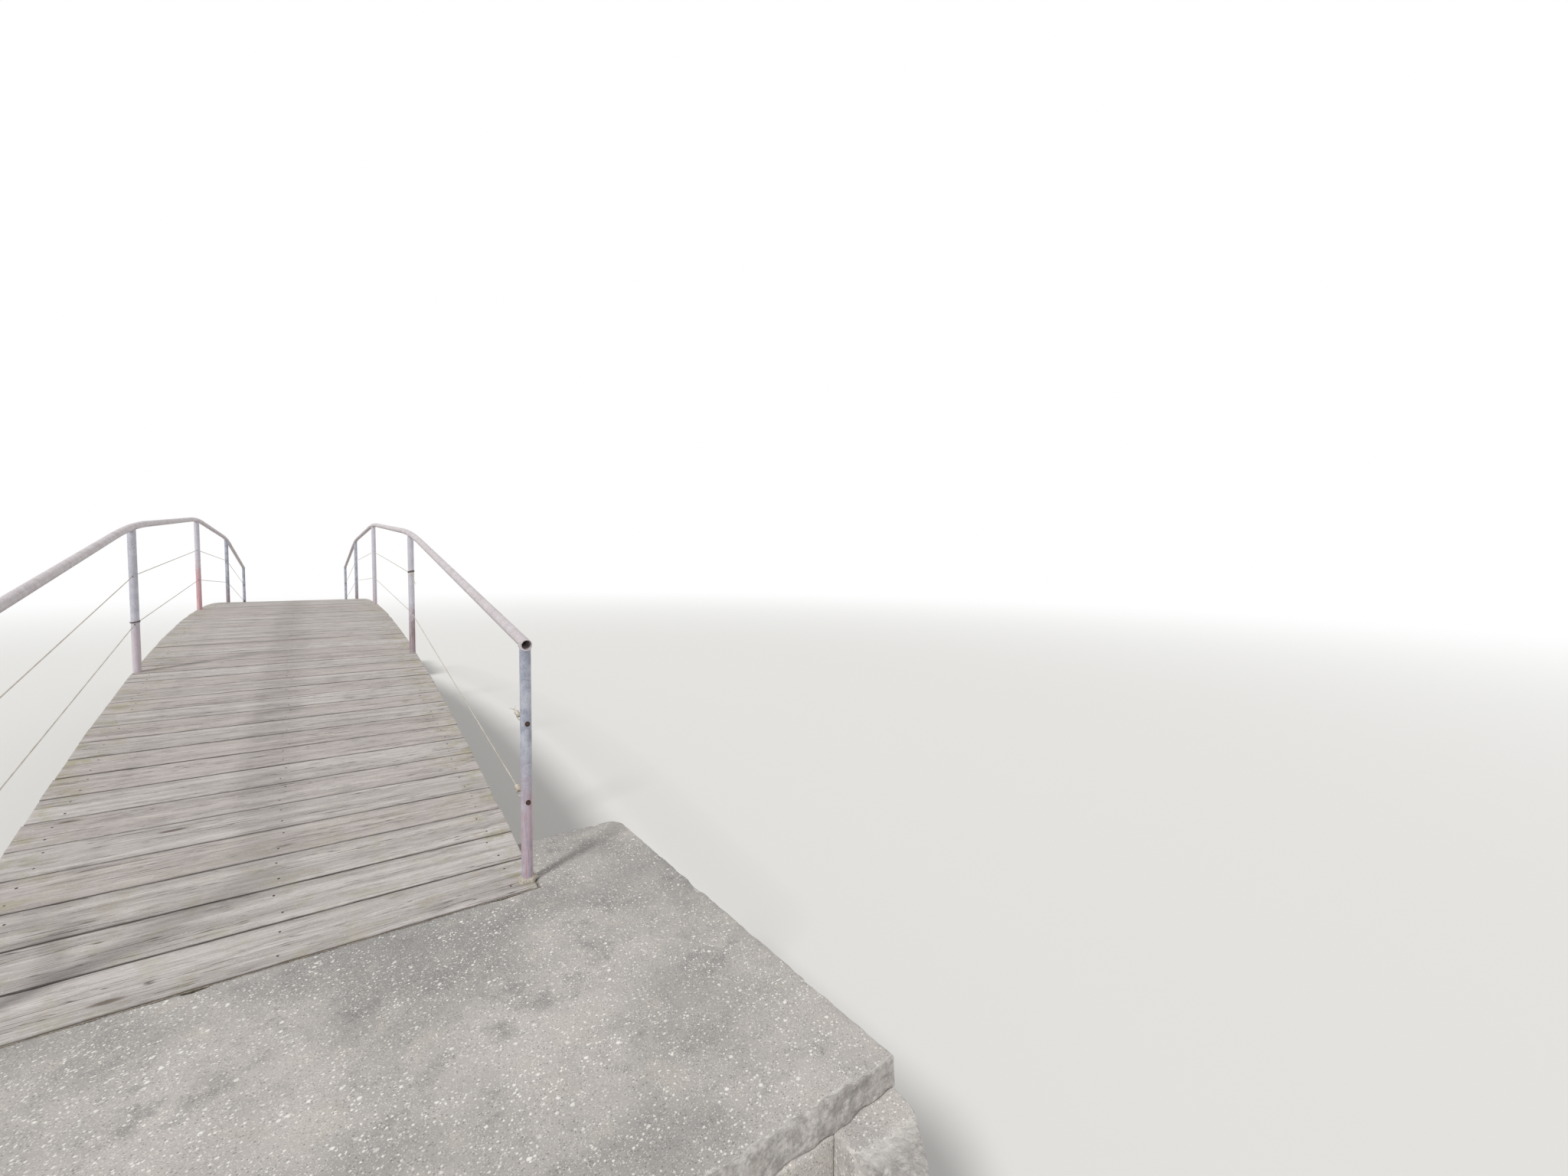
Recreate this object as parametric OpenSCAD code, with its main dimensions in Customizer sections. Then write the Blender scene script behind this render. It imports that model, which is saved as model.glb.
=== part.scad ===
// Arched timber footbridge with bent pipe railings on concrete abutments.
// X runs across the bridge, Y along it from the near end (-Y) to the far end (+Y), Z up.
// The origin is on the floor under the middle of the span. All sizes are in millimetres.

/* [Arch] */
// Distance from one post to the next along the bridge
post_pitch = 3675; // [2500:5:4500]
// Rise of the deck from the end posts to the middle post
arch_rise = 736; // [400:1:1100]

/* [Deck] */
// Width of the deck, which is the length of a plank
deck_w = 1830; // [1200:5:2600]
// Width of a plank
plank_w = 230; // [140:1:300]
// Thickness of a plank
plank_t = 38; // [25:1:60]
// Smallest gap between two planks
plank_gap = 3.5; // [2:0.5:12]
// Length of deck past the end posts
deck_overrun = 80; // [60:1:160]

/* [Stringers] */
// Width of a stringer
stringer_w = 130; // [80:1:200]
// Depth of a stringer
stringer_h = 380; // [300:1:500]
// Length of the level bearing cut under a stringer's end
bearing_len = 250; // [200:1:280]
// Distance from the deck's end back to the stringers' ends
stringer_setback = 25; // [10:1:60]
// Thickness of the blocking between the stringers
block_t = 90; // [38:1:120]
// Depth of the blocking between the stringers
block_h = 260; // [120:1:270]

/* [Railing] */
// Outer diameter of the rail and post pipes
pipe_d = 48.3; // [33.4:0.1:60.3]
// Wall of the rail and post pipes
pipe_wall = 3.7; // [2.6:0.1:5.5]
// Height of the rail's middle above the deck
rail_h = 1067; // [850:1:1200]
// Radius of the rail's bends over the inner posts
rail_bend_r = 11000; // [2000:100:20000]
// Length of rail past the middle of the end post
rail_overhang = 24; // [24:1:200]
// Distance from the deck's edge in to the middle of a post
post_inset = 28; // [20:0.5:60]
// Height of the lower wire above the deck
lower_wire_h = 356; // [250:1:450]
// Height of the upper wire above the deck
upper_wire_h = 711; // [560:1:800]
// Diameter of the wires
wire_d = 6; // [4:0.5:8]

/* [Wire ends] */
// Diameter of the eye bolts' shanks and rings
eye_bar_d = 10; // [8:0.5:12]
// Inner diameter of the lower eye bolts' rings
lower_eye_d = 36; // [34:1:44]
// Inner diameter of the upper eye bolts' rings
upper_eye_d = 24; // [22:1:34]
// Bar diameter of the chain links
link_bar_d = 8; // [6:0.5:9]
// Inner width of the chain links
link_inner_w = 20; // [19:1:26]
// Inner length of the short chain links
short_link_l = 32; // [30:1:44]
// Inner length of the long chain link
long_link_l = 60; // [48:1:90]
// Inner length of the loop at a wire's end
wire_loop_l = 52; // [40:1:80]
// Diameter of the binding round a wire's end
knot_d = 22; // [16:1:30]
// Length of the binding round a wire's end
knot_l = 46; // [30:1:70]

/* [Abutments] */
// Height of the concrete landing above the floor
landing_h = 1600; // [1200:5:2200]
// Width of the concrete landing
landing_w = 2980; // [2700:5:3600]
// Length of the landing behind the deck's end
landing_run = 1620; // [900:5:2600]
// Length of the concrete beside the deck, measured in from the end posts
cheek_run = 415; // [300:1:480]
// Thickness of the landing slab
slab_t = 100; // [80:1:200]
// Length of the side walls past the landing's back edge
wing_run = 250; // [100:5:400]
// Thickness of the side and back walls under the landing
wall_t = 250; // [150:1:400]
// Thickness of the concrete behind the pocket that takes the stringers
pocket_back_t = 250; // [150:1:400]
// Joint between the concrete and the timber round the deck's end
pocket_gap = 6; // [4:0.5:15]

/* [Hidden] */

// Sides of the bridge, seen from the near end
LEFT = -1;
RIGHT = 1;

// Number of bays between posts, clearances, and how far a cut runs past a face
bays = 4;
cut_over = 1;
seat_gap = 0.2;
link_gap = 0.3;
notch_gap = 3;
hole_gap = 1.5;
bolt_gap = 0.4;
joint_gap = 0.3;

// The deck's top is an arc through the end posts and the middle post
span = bays * post_pitch;
arch_r = (span * span / 4 + arch_rise * arch_rise) / (2 * arch_rise);
deck_end_y = span / 2 + deck_overrun;
arch_cz = landing_h - sqrt(arch_r * arch_r - deck_end_y * deck_end_y);
function arc_z(r, y) = arch_cz + sqrt(r * r - y * y);
function deck_z(y) = arc_z(arch_r, y);
function station_y(i) = (i - bays / 2) * post_pitch;

// Planks are spread evenly along the arc
deck_half_angle = asin(deck_end_y / arch_r);
deck_arc = arch_r * deck_half_angle * PI / 90;
plank_count = bays * floor(deck_arc / (plank_w + plank_gap) / bays);
plank_step = 2 * deck_half_angle / plank_count;
planks_per_bay = plank_count / bays;

// Stringers lie under the planks, the outer two against the posts
stringer_top_r = arch_r - plank_t - seat_gap;
stringer_low_r = stringer_top_r - stringer_h;
stringer_end_y = deck_end_y - stringer_setback;
post_x = deck_w / 2 - post_inset;
outer_stringer_x = post_x - pipe_d / 2 - seat_gap - stringer_w / 2;
seat_y = stringer_end_y - bearing_len;
seat_z = arc_z(stringer_low_r, seat_y);
block_drop = 15;
block_l = outer_stringer_x - stringer_w - 2 * seat_gap;
arc_fn = 1440;
arc_spare = 1;

// Steel shoes between the stringers and the concrete
shoe_plate_t = 12;
shoe_ear_t = 8;
shoe_ear_h = 130;
shoe_setback = 10;
shoe_l = bearing_len - block_drop - block_t - 2 * shoe_setback;
shoe_flange = 42;
shoe_y = seat_y + shoe_l / 2 + shoe_setback;
shelf_z = seat_z - shoe_plate_t - 2 * seat_gap;

// Concrete: the pocket takes the deck's end, the stringers and the end posts
front_y = span / 2 - cheek_run;
pocket_y = deck_end_y + pocket_gap;
pocket_x = deck_w / 2 + pocket_gap;
seat_wall_y = pocket_y + pocket_back_t;
back_y = deck_end_y + landing_run;
wing_y = back_y + wing_run;
wall_h = landing_h - slab_t;

// Damage at the near landing: a chipped front corner and a side wall with a broken end
front_chip_x = 45;
front_chip_y = 80;
wall_chip_x = 130;
wall_chip_y = 190;
wall_chip_h = 330;
chip_bulge = 0.35;

// A height over the whole bridge, for cuts that are open to the top
over_all_z = landing_h + arch_rise + 2 * rail_h;

// Railing pipes and wires, as points [y, z] over the stations
pipe_bore = pipe_d - 2 * pipe_wall;
pipe_fn = 48;
wire_fn = 24;
seam_rise = 0.3;
seam_l = 4;
bead_rise = 1.5;
post_lift = 20;
hole_d = wire_d + 2 * hole_gap;
cope_l = 4 * pipe_d;
drill_l = 2 * pipe_d;
function over_deck(i, h) = [station_y(i), deck_z(station_y(i)) + h];

// The rail's corner points stand proud of the bends, so that the bends pass at the rail's height
corner_turn = turn_at([for (i = [0:2]) over_deck(i, rail_h)], 1);
corner_rise = rail_bend_r * (1 / cos(corner_turn / 2) - 1);
function rail_corner(i) = over_deck(i, rail_h + (i == 0 || i == bays ? 0 : corner_rise));
rail_slope = leg_angle([rail_corner(0), rail_corner(1)], 0);
rail_end_z = deck_z(station_y(0)) + rail_h - rail_overhang * tan(rail_slope);
rail_path = concat(
    [[station_y(0) - rail_overhang, rail_end_z]],
    [for (i = [1:bays - 1]) rail_corner(i)],
    [[station_y(bays) + rail_overhang, rail_end_z]]
);

// Eye bolts and chains: a link passes through the one before it
nut_l = 9;
nut_d = 19;
washer_t = 3;
washer_d = 28;
bolt_tail = 8;
ring_fn = 96;
washer_fn = 32;
nut_sides = 6;
knot_chamfer = 4;
knot_lap = 1.5;
function eye_reach(eye_d) = pipe_d / 2 + eye_bar_d + eye_d / 2;
function eye_point(h, eye_d) = [station_y(0) + eye_reach(eye_d), deck_z(station_y(0)) + h];
function wire_aim(h, eye_d) = leg_angle([eye_point(h, eye_d), over_deck(1, h)], 0);

// Distances along a wire's line from the middle of the eye to the middle of each link's near bar
function first_bar(eye_d, bar_d) = eye_d / 2 - bar_d / 2 - link_gap;
short_1_at = first_bar(lower_eye_d, link_bar_d);
long_at = short_1_at + short_link_l - link_gap;
short_2_at = long_at + long_link_l - link_gap;
chain_end = short_2_at + short_link_l + link_bar_d;
chained_loop_at = chain_end - link_bar_d / 2 - wire_d / 2 - link_gap;
loop_reach = wire_loop_l + wire_d;

// The parted wire: a stub at its eye, and one that hangs from the second right post
end_stub_l = 60;
stub_r = 170;
stub_turn = 62;
broken_reach = pipe_d / 2 + seat_gap;

// Direction of leg i of a path, and how far the path turns down at point i
function leg_angle(path, i) = atan2(path[i + 1][1] - path[i][1], path[i + 1][0] - path[i][0]);
function turn_at(path, i) = leg_angle(path, i - 1) - leg_angle(path, i);
function along(angle, length) = [length * cos(angle), length * sin(angle)];
function mean_angle(path, i) = (leg_angle(path, i - 1) + leg_angle(path, i)) / 2;
function bend_in(path, i, r) = path[i] - along(leg_angle(path, i - 1), r * tan(turn_at(path, i) / 2));
function bend_out(path, i, r) = path[i] + along(leg_angle(path, i), r * tan(turn_at(path, i) / 2));

// Turns flat work in X and Y into the bridge's side plane, Y and Z, at a distance x across
module side_plane(x) translate([x, 0, 0]) rotate([90, 0, 90]) children();

// Puts children on a line that starts at a point of the side plane, their Z along the line
module on_line(x, point, angle, distance = 0) {
    start = point + along(angle, distance);
    translate([x, start[0], start[1]]) rotate([angle - 90, 0, 0]) children();
}

module mirror_far(far) mirror([0, far ? 1 : 0, 0]) children();

// Pipe-shaped bar along a path, bent at each inner point, with a ground seam at each joint
module bent_bar(x, path, bend_r, d) {
    last = len(path) - 1;
    for (i = [0:last - 1]) {
        from = i == 0 ? path[0] : bend_out(path, i, bend_r);
        to = i == last - 1 ? path[last] : bend_in(path, i + 1, bend_r);
        on_line(x, from, leg_angle(path, i)) cylinder(d = d, h = norm(to - from), $fn = pipe_fn);
    }
    for (i = [1:last - 1]) {
        half_turn = turn_at(path, i) / 2;
        middle = bend_in(path, i, bend_r) + along(leg_angle(path, i - 1) - 90, bend_r);
        for (half = [0, 1])
            side_plane(x)
                translate(middle)
                rotate([0, 0, leg_angle(path, i) + 90 + half * half_turn])
                rotate_extrude(angle = half_turn, $fn = arc_fn)
                translate([bend_r, 0])
                circle(d = d, $fn = pipe_fn);
        for (part = [0, 1, 2])
            on_line(x, middle, leg_angle(path, i) + 90 + part * half_turn, bend_r)
                rotate([90, 0, 0])
                cylinder(d = d + 2 * seam_rise, h = seam_l, center = true, $fn = pipe_fn);
    }
}

// Wire with straight runs that turn at a bead in each post
module taut_wire(x, path) {
    last = len(path) - 1;
    for (i = [0:last - 1])
        on_line(x, path[i], leg_angle(path, i))
            cylinder(d = wire_d, h = norm(path[i + 1] - path[i]), $fn = wire_fn);
    for (i = [1:last - 1])
        translate([x, path[i][0], path[i][1]]) sphere(d = wire_d + bead_rise, $fn = wire_fn);
}

// Curved bar of rectangular section that follows the arch, with plumb ends
module arch_bar(x, w, low_r, top_r, end_y) {
    reach_angle = deck_half_angle + arc_spare;
    intersection() {
        side_plane(x)
            translate([0, arch_cz])
            rotate([0, 0, 90 - reach_angle])
            rotate_extrude(angle = 2 * reach_angle, $fn = arc_fn)
            translate([low_r, -w / 2])
            square([top_r - low_r, w]);
        translate([x - w, -end_y, 0]) cube([2 * w, 2 * end_y, over_all_z]);
    }
}

// Concrete pocket for the deck's end, open to the front and the top
module pocket(base_z) {
    translate([-pocket_x, -pocket_y, base_z])
        cube([2 * pocket_x, pocket_y, over_all_z]);
}

module seat_wall(far) color("darkgray") mirror_far(far) difference() {
    translate([-landing_w / 2, -seat_wall_y, 0])
        cube([landing_w, seat_wall_y - front_y, wall_h]);
    pocket(shelf_z);
}

// Side wall under the landing, which runs on behind it as a short wing
module side_wall(side, far) color("darkgray") mirror_far(far) difference() {
    translate([side * (landing_w - wall_t) / 2 - wall_t / 2, -wing_y, 0])
        cube([wall_t, wing_y - seat_wall_y, wall_h]);
    if (side == RIGHT && !far)
        translate([0, 0, wall_h - wall_chip_h])
            linear_extrude(wall_chip_h + cut_over)
            translate([landing_w / 2, -wing_y])
            lost_corner(wall_chip_x, wall_chip_y, 1);
}

module back_wall(far) color("darkgray") mirror_far(far) {
    inner_w = landing_w - 2 * wall_t;
    translate([-inner_w / 2, -back_y, 0]) cube([inner_w, wall_t, wall_h]);
}

module landing_outline() {
    translate([-landing_w / 2, -back_y]) square([landing_w, back_y - front_y]);
}

// What is lost from a corner at the origin, with the body on its left and on the side given by inward
module lost_corner(size_x, size_y, inward) {
    polygon([
        [-size_x, -inward * cut_over],
        [-size_x * chip_bulge, inward * size_y * chip_bulge],
        [cut_over, inward * size_y],
        [cut_over, -inward * cut_over]
    ]);
}

module landing(far) color("silver") mirror_far(far) difference() {
    translate([0, 0, wall_h]) linear_extrude(slab_t) difference() {
        landing_outline();
        if (!far) translate([landing_w / 2, -front_y]) lost_corner(front_chip_x, front_chip_y, -1);
    }
    pocket(0);
}

module bearing_shoe(x) {
    plate_w = stringer_w + 2 * (shoe_ear_t + shoe_flange);
    translate([x - plate_w / 2, -shoe_y - shoe_l / 2, shelf_z + seat_gap])
        cube([plate_w, shoe_l, shoe_plate_t]);
    for (side = [LEFT, RIGHT])
        translate([x + side * (stringer_w / 2 + seat_gap + shoe_ear_t / 2), -shoe_y, 0])
            translate([-shoe_ear_t / 2, -shoe_l / 2, shelf_z + seat_gap])
            cube([shoe_ear_t, shoe_l, shoe_plate_t + shoe_ear_h]);
}

module bearing_shoes(far) color("dimgray") mirror_far(far) {
    for (x = [-outer_stringer_x, 0, outer_stringer_x]) bearing_shoe(x);
}

module stringer(x) color("burlywood") intersection() {
    arch_bar(x, stringer_w, stringer_low_r, stringer_top_r, stringer_end_y);
    translate([x - stringer_w, -deck_end_y, seat_z])
        cube([2 * stringer_w, 2 * deck_end_y, over_all_z]);
}

// Pair of blocks between the stringers, square to the arch under an inner post
module blocking(i) color("tan") {
    for (side = [LEFT, RIGHT])
        translate([side * outer_stringer_x / 2, 0, arch_cz])
            rotate([-asin(station_y(i) / arch_r), 0, 0])
            translate([-block_l / 2, -block_t / 2, stringer_top_r - block_drop - block_h])
            cube([block_l, block_t, block_h]);
}

// Pair of plumb blocks between the stringers' ends
module end_blocking(far) color("tan") mirror_far(far) {
    block_y = stringer_end_y - block_drop;
    top_z = arc_z(stringer_top_r, block_y) - block_drop;
    for (side = [LEFT, RIGHT])
        translate([side * outer_stringer_x / 2 - block_l / 2, -block_y, top_z - block_h])
            cube([block_l, block_t, block_h]);
}

module plank(k) {
    translate([0, 0, arch_cz])
        rotate([deck_half_angle - (k + 0.5) * plank_step, 0, 0])
        translate([-deck_w / 2, -plank_w / 2, arch_r - plank_t])
        cube([deck_w, plank_w, plank_t]);
}

// Notches let the posts pass the ends of the planks
module post_notches(i) {
    notch_w = pipe_d + 2 * notch_gap;
    inner_x = post_x - pipe_d / 2 - seat_gap;
    notch_l = deck_w / 2 - inner_x + cut_over;
    for (side = [LEFT, RIGHT])
        translate([side > 0 ? inner_x : -inner_x - notch_l, station_y(i) - notch_w / 2, 0])
            cube([notch_l, notch_w, over_all_z]);
}

module deck_planks(bay) color("wheat") difference() {
    for (k = [0:planks_per_bay - 1]) plank(bay * planks_per_bay + k);
    for (i = [bay, bay + 1]) post_notches(i);
}

function is_end(i) = i == 0 || i == bays;
function post_foot_z(i) =
    is_end(i) ? shelf_z + seat_gap : arc_z(stringer_low_r, station_y(i)) + post_lift;
function rail_point(i) = [station_y(i), is_end(i) ? over_deck(i, rail_h)[1]
    : rail_corner(i)[1] - rail_bend_r * (1 / cos(turn_at(rail_path, i) / 2) - 1)];
function rail_angle(i) = i == 0 ? leg_angle(rail_path, 0)
    : i == bays ? leg_angle(rail_path, bays - 1) : mean_angle(rail_path, i);

// Post coped to the rail, drilled for the wires or, at the bridge's ends, for the eye bolts
module post(side, i) color("slategray") {
    x = side * post_x;
    y = station_y(i);
    difference() {
        translate([x, y, post_foot_z(i)])
            cylinder(d = pipe_d, h = rail_point(i)[1] - post_foot_z(i), $fn = pipe_fn);
        translate([x, y, post_foot_z(i) - cut_over])
            cylinder(d = pipe_bore, h = over_all_z, $fn = pipe_fn);
        on_line(x, rail_point(i), rail_angle(i))
            cylinder(d = pipe_d + 2 * (seam_rise + seat_gap), h = cope_l, center = true, $fn = pipe_fn);
        for (h = [lower_wire_h, upper_wire_h])
            on_line(x, over_deck(i, h), is_end(i) ? 0 : wire_lean(side, i, h)) cylinder(
                d = is_end(i) ? eye_bar_d + bolt_gap : hole_d, h = drill_l, center = true, $fn = wire_fn);
    }
}

// Rail of one length of pipe a bay, butted and welded over the inner posts
module rail(side) color("slategray") difference() {
    x = side * post_x;
    bent_bar(x, rail_path, rail_bend_r, pipe_d);
    bent_bar(x, stretched(rail_path, cut_over), rail_bend_r, pipe_bore);
    for (i = [1:bays - 1])
        on_line(x, rail_point(i), rail_angle(i)) cube([drill_l, drill_l, joint_gap], center = true);
}

// The same path with both ends moved out by a length
function stretched(path, length) = [for (i = [0:len(path) - 1])
    i == 0 ? path[0] - along(leg_angle(path, 0), length)
    : i == len(path) - 1 ? path[i] + along(leg_angle(path, i - 1), length) : path[i]];

function eye_inner_d(h) = h == lower_wire_h ? lower_eye_d : upper_eye_d;
function has_chain(side, h) = side == LEFT && h == lower_wire_h;
function loop_at(side, h) = has_chain(side, h) ? chained_loop_at : first_bar(eye_inner_d(h), wire_d);
function from_eye(h, distance) =
    eye_point(h, eye_inner_d(h)) + along(wire_aim(h, eye_inner_d(h)), distance);
function wire_start(side, h) = from_eye(h, loop_at(side, h) + loop_reach + knot_l / 2);
function flipped(point) = [-point[0], point[1]];
function wire_path(side, h) = concat(
    [wire_start(side, h)],
    [for (i = [1:bays - 1]) over_deck(i, h)],
    [flipped(wire_start(side, h))]
);
function wire_lean(side, i, h) = mean_angle(wire_path(side, h), i);

// Link of round bar, its near bar at the origin and its length along Z
module link(inner_l, inner_w, bar_d, flat) {
    bend_r = (inner_w + bar_d) / 2;
    leg_l = inner_l - inner_w;
    rotate([0, 0, flat ? 90 : 0]) {
        for (side = [-1, 1])
            translate([0, side * bend_r, bend_r]) cylinder(d = bar_d, h = leg_l, $fn = wire_fn);
        for (top = [false, true])
            translate([0, 0, bend_r + (top ? leg_l : 0)])
                rotate([90, 0, 90])
                rotate([0, 0, top ? 0 : 180])
                rotate_extrude(angle = 180, $fn = ring_fn)
                translate([bend_r, 0])
                circle(d = bar_d, $fn = wire_fn);
    }
}

// Binding that closes the loop at a wire's end, with chamfered rims
module knot() {
    rotate_extrude($fn = wire_fn) polygon([
        [0, 0],
        [knot_d / 2 - knot_chamfer, 0],
        [knot_d / 2, knot_chamfer],
        [knot_d / 2, knot_l - knot_chamfer],
        [knot_d / 2 - knot_chamfer, knot_l],
        [0, knot_l]
    ]);
}

module wire_end(side, h) {
    x = side * post_x;
    aim = wire_aim(h, eye_inner_d(h));
    on_line(x, from_eye(h, loop_at(side, h)), aim)
        link(wire_loop_l, link_inner_w, wire_d, !has_chain(side, h));
    on_line(x, from_eye(h, loop_at(side, h) + loop_reach), aim, -knot_lap) knot();
}

// Wire through the inner posts, with a bound loop at each end
module wire(side, h) color("tan") {
    taut_wire(side * post_x, wire_path(side, h));
    wire_end(side, h);
    mirror_far(true) wire_end(side, h);
}

// Wire that has parted in the first bay: its near end is left in the eye, and the rest ends in a knot
// and a stub at the second post
module parted_wire(side, h) color("tan") {
    x = side * post_x;
    path = wire_path(side, h);
    knot_start = path[1] - along(leg_angle(path, 1), broken_reach);
    wire_end(side, h);
    on_line(x, path[0], leg_angle(path, 0)) cylinder(d = wire_d, h = knot_l / 2 + end_stub_l, $fn = wire_fn);
    taut_wire(x, concat([knot_start], [for (i = [2:bays]) path[i]]));
    mirror_far(true) wire_end(side, h);
    on_line(x, knot_start, leg_angle(path, 1) + 180) knot();
    stub_start = knot_start - along(leg_angle(path, 1), knot_l - wire_d);
    stub_middle = stub_start - [0, stub_r];
    side_plane(x)
        translate(stub_middle)
        rotate([0, 0, 90])
        rotate_extrude(angle = stub_turn, $fn = ring_fn)
        translate([stub_r, 0])
        circle(d = wire_d, $fn = wire_fn);
}

// Eye bolt through an end post, its nut and washer on the outer side
module eye_bolt(x, h) {
    eye_d = eye_inner_d(h);
    ring_r = (eye_d + eye_bar_d) / 2;
    point = eye_point(h, eye_d);
    tail = eye_reach(eye_d) + pipe_d / 2 + washer_t + nut_l + bolt_tail;
    side_plane(x) translate(point)
        rotate_extrude($fn = ring_fn) translate([ring_r, 0]) circle(d = eye_bar_d, $fn = wire_fn);
    on_line(x, point, 180, ring_r) cylinder(d = eye_bar_d, h = tail - ring_r, $fn = wire_fn);
    on_line(x, [station_y(0), point[1]], 180, pipe_d / 2 + seat_gap)
        cylinder(d = washer_d, h = washer_t, $fn = washer_fn);
    on_line(x, [station_y(0), point[1]], 180, pipe_d / 2 + seat_gap + washer_t)
        cylinder(d = nut_d, h = nut_l, $fn = nut_sides);
}

module chain(x) {
    point = eye_point(lower_wire_h, lower_eye_d);
    aim = wire_aim(lower_wire_h, lower_eye_d);
    on_line(x, point, aim, short_1_at) link(short_link_l, link_inner_w, link_bar_d, true);
    on_line(x, point, aim, long_at) link(long_link_l, link_inner_w, link_bar_d, false);
    on_line(x, point, aim, short_2_at) link(short_link_l, link_inner_w, link_bar_d, true);
}

module wire_fittings(side, far) color("sienna") mirror_far(far) {
    x = side * post_x;
    eye_bolt(x, lower_wire_h);
    eye_bolt(x, upper_wire_h);
    if (has_chain(side, lower_wire_h)) chain(x);
}

seat_wall(false);  // near_seat_wall
side_wall(LEFT, false);  // near_left_wall
side_wall(RIGHT, false);  // near_right_wall
back_wall(false);  // near_back_wall
landing(false);  // near_landing
seat_wall(true);  // far_seat_wall
side_wall(LEFT, true);  // far_left_wall
side_wall(RIGHT, true);  // far_right_wall
back_wall(true);  // far_back_wall
landing(true);  // far_landing
bearing_shoes(false);  // near_bearing_shoes
bearing_shoes(true);  // far_bearing_shoes
stringer(-outer_stringer_x);  // left_stringer
stringer(0);  // middle_stringer
stringer(outer_stringer_x);  // right_stringer
end_blocking(false);  // blocking_1
blocking(1);  // blocking_2
blocking(2);  // blocking_3
blocking(3);  // blocking_4
end_blocking(true);  // blocking_5
deck_planks(0);  // deck_planks_1
deck_planks(1);  // deck_planks_2
deck_planks(2);  // deck_planks_3
deck_planks(3);  // deck_planks_4
post(LEFT, 0);  // left_post_1
post(LEFT, 1);  // left_post_2
post(LEFT, 2);  // left_post_3
post(LEFT, 3);  // left_post_4
post(LEFT, 4);  // left_post_5
post(RIGHT, 0);  // right_post_1
post(RIGHT, 1);  // right_post_2
post(RIGHT, 2);  // right_post_3
post(RIGHT, 3);  // right_post_4
post(RIGHT, 4);  // right_post_5
rail(LEFT);  // left_rail
rail(RIGHT);  // right_rail
wire(LEFT, lower_wire_h);  // left_lower_wire
wire(LEFT, upper_wire_h);  // left_upper_wire
wire(RIGHT, lower_wire_h);  // right_lower_wire
parted_wire(RIGHT, upper_wire_h);  // right_upper_wire
wire_fittings(LEFT, false);  // near_left_wire_fittings
wire_fittings(RIGHT, false);  // near_right_wire_fittings
wire_fittings(LEFT, true);  // far_left_wire_fittings
wire_fittings(RIGHT, true);  // far_right_wire_fittings
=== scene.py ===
import itertools
import math

import bpy
import numpy as np
from mathutils import Matrix, Vector


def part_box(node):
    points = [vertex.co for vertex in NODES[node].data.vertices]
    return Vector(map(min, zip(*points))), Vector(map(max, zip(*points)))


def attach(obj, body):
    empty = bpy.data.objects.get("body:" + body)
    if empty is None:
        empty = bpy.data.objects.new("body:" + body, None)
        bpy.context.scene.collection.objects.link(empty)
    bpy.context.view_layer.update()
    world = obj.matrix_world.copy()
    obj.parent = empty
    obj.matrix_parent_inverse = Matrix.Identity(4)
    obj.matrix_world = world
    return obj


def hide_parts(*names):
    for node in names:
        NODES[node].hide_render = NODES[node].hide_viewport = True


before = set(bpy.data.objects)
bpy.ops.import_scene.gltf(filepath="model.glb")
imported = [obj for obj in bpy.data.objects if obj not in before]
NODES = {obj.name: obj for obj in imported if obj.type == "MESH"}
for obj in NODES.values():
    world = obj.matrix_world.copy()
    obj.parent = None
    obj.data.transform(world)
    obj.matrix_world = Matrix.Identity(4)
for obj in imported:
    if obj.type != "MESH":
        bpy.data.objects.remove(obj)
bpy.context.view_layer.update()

# The bridge's own sizes, in metres: X runs across it, Y along it from the near end, Z up
BAYS = 4
POST_PITCH = 3.675
ARCH_RISE = 0.736
DECK_OVERRUN = 0.080
DECK_W = 1.830
PLANK_W = 0.230
PLANK_T = 0.038
PLANK_COUNT = 64
POST_INSET = 0.028
PIPE_R = 0.02415
RAIL_H = 1.067
LOWER_WIRE_H = 0.356
UPPER_WIRE_H = 0.711
STRINGER_W = 0.130
STRINGER_H = 0.380
STRINGER_SETBACK = 0.025
POCKET_GAP = 0.006
SEAT_GAP = 0.0002
LEFT = -1
RIGHT = 1
SIDES = (("left", LEFT), ("right", RIGHT))
ENDS = (("near", False), ("far", True))

# Places worked out from those sizes
LANDING_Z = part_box("near_landing")[1].z
SLAB_LOW_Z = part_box("near_landing")[0].z
SPAN = BAYS * POST_PITCH
ARCH_R = (SPAN ** 2 / 4 + ARCH_RISE ** 2) / (2 * ARCH_RISE)
DECK_END_Y = SPAN / 2 + DECK_OVERRUN
ARCH_CZ = LANDING_Z - math.sqrt(ARCH_R ** 2 - DECK_END_Y ** 2)
PLANKS_PER_BAY = PLANK_COUNT // BAYS
DECK_HALF_ANGLE = math.asin(DECK_END_Y / ARCH_R)
PLANK_STEP = 2 * DECK_HALF_ANGLE / PLANK_COUNT
POST_X = DECK_W / 2 - POST_INSET
NOTCH_X = POST_X - PIPE_R - SEAT_GAP
STRINGER_TOP_R = ARCH_R - PLANK_T - SEAT_GAP
STRINGER_END_Y = DECK_END_Y - STRINGER_SETBACK
OUTER_STRINGER_X = NOTCH_X - STRINGER_W / 2
STRINGER_XS = (-OUTER_STRINGER_X, 0.0, OUTER_STRINGER_X)
POCKET_X = DECK_W / 2 + POCKET_GAP
POCKET_Y = DECK_END_Y + POCKET_GAP


def arc_z(radius, y):
    """Height of an arc about the arch's centre, y along the bridge."""
    return ARCH_CZ + np.sqrt(radius ** 2 - np.square(y))


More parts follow.
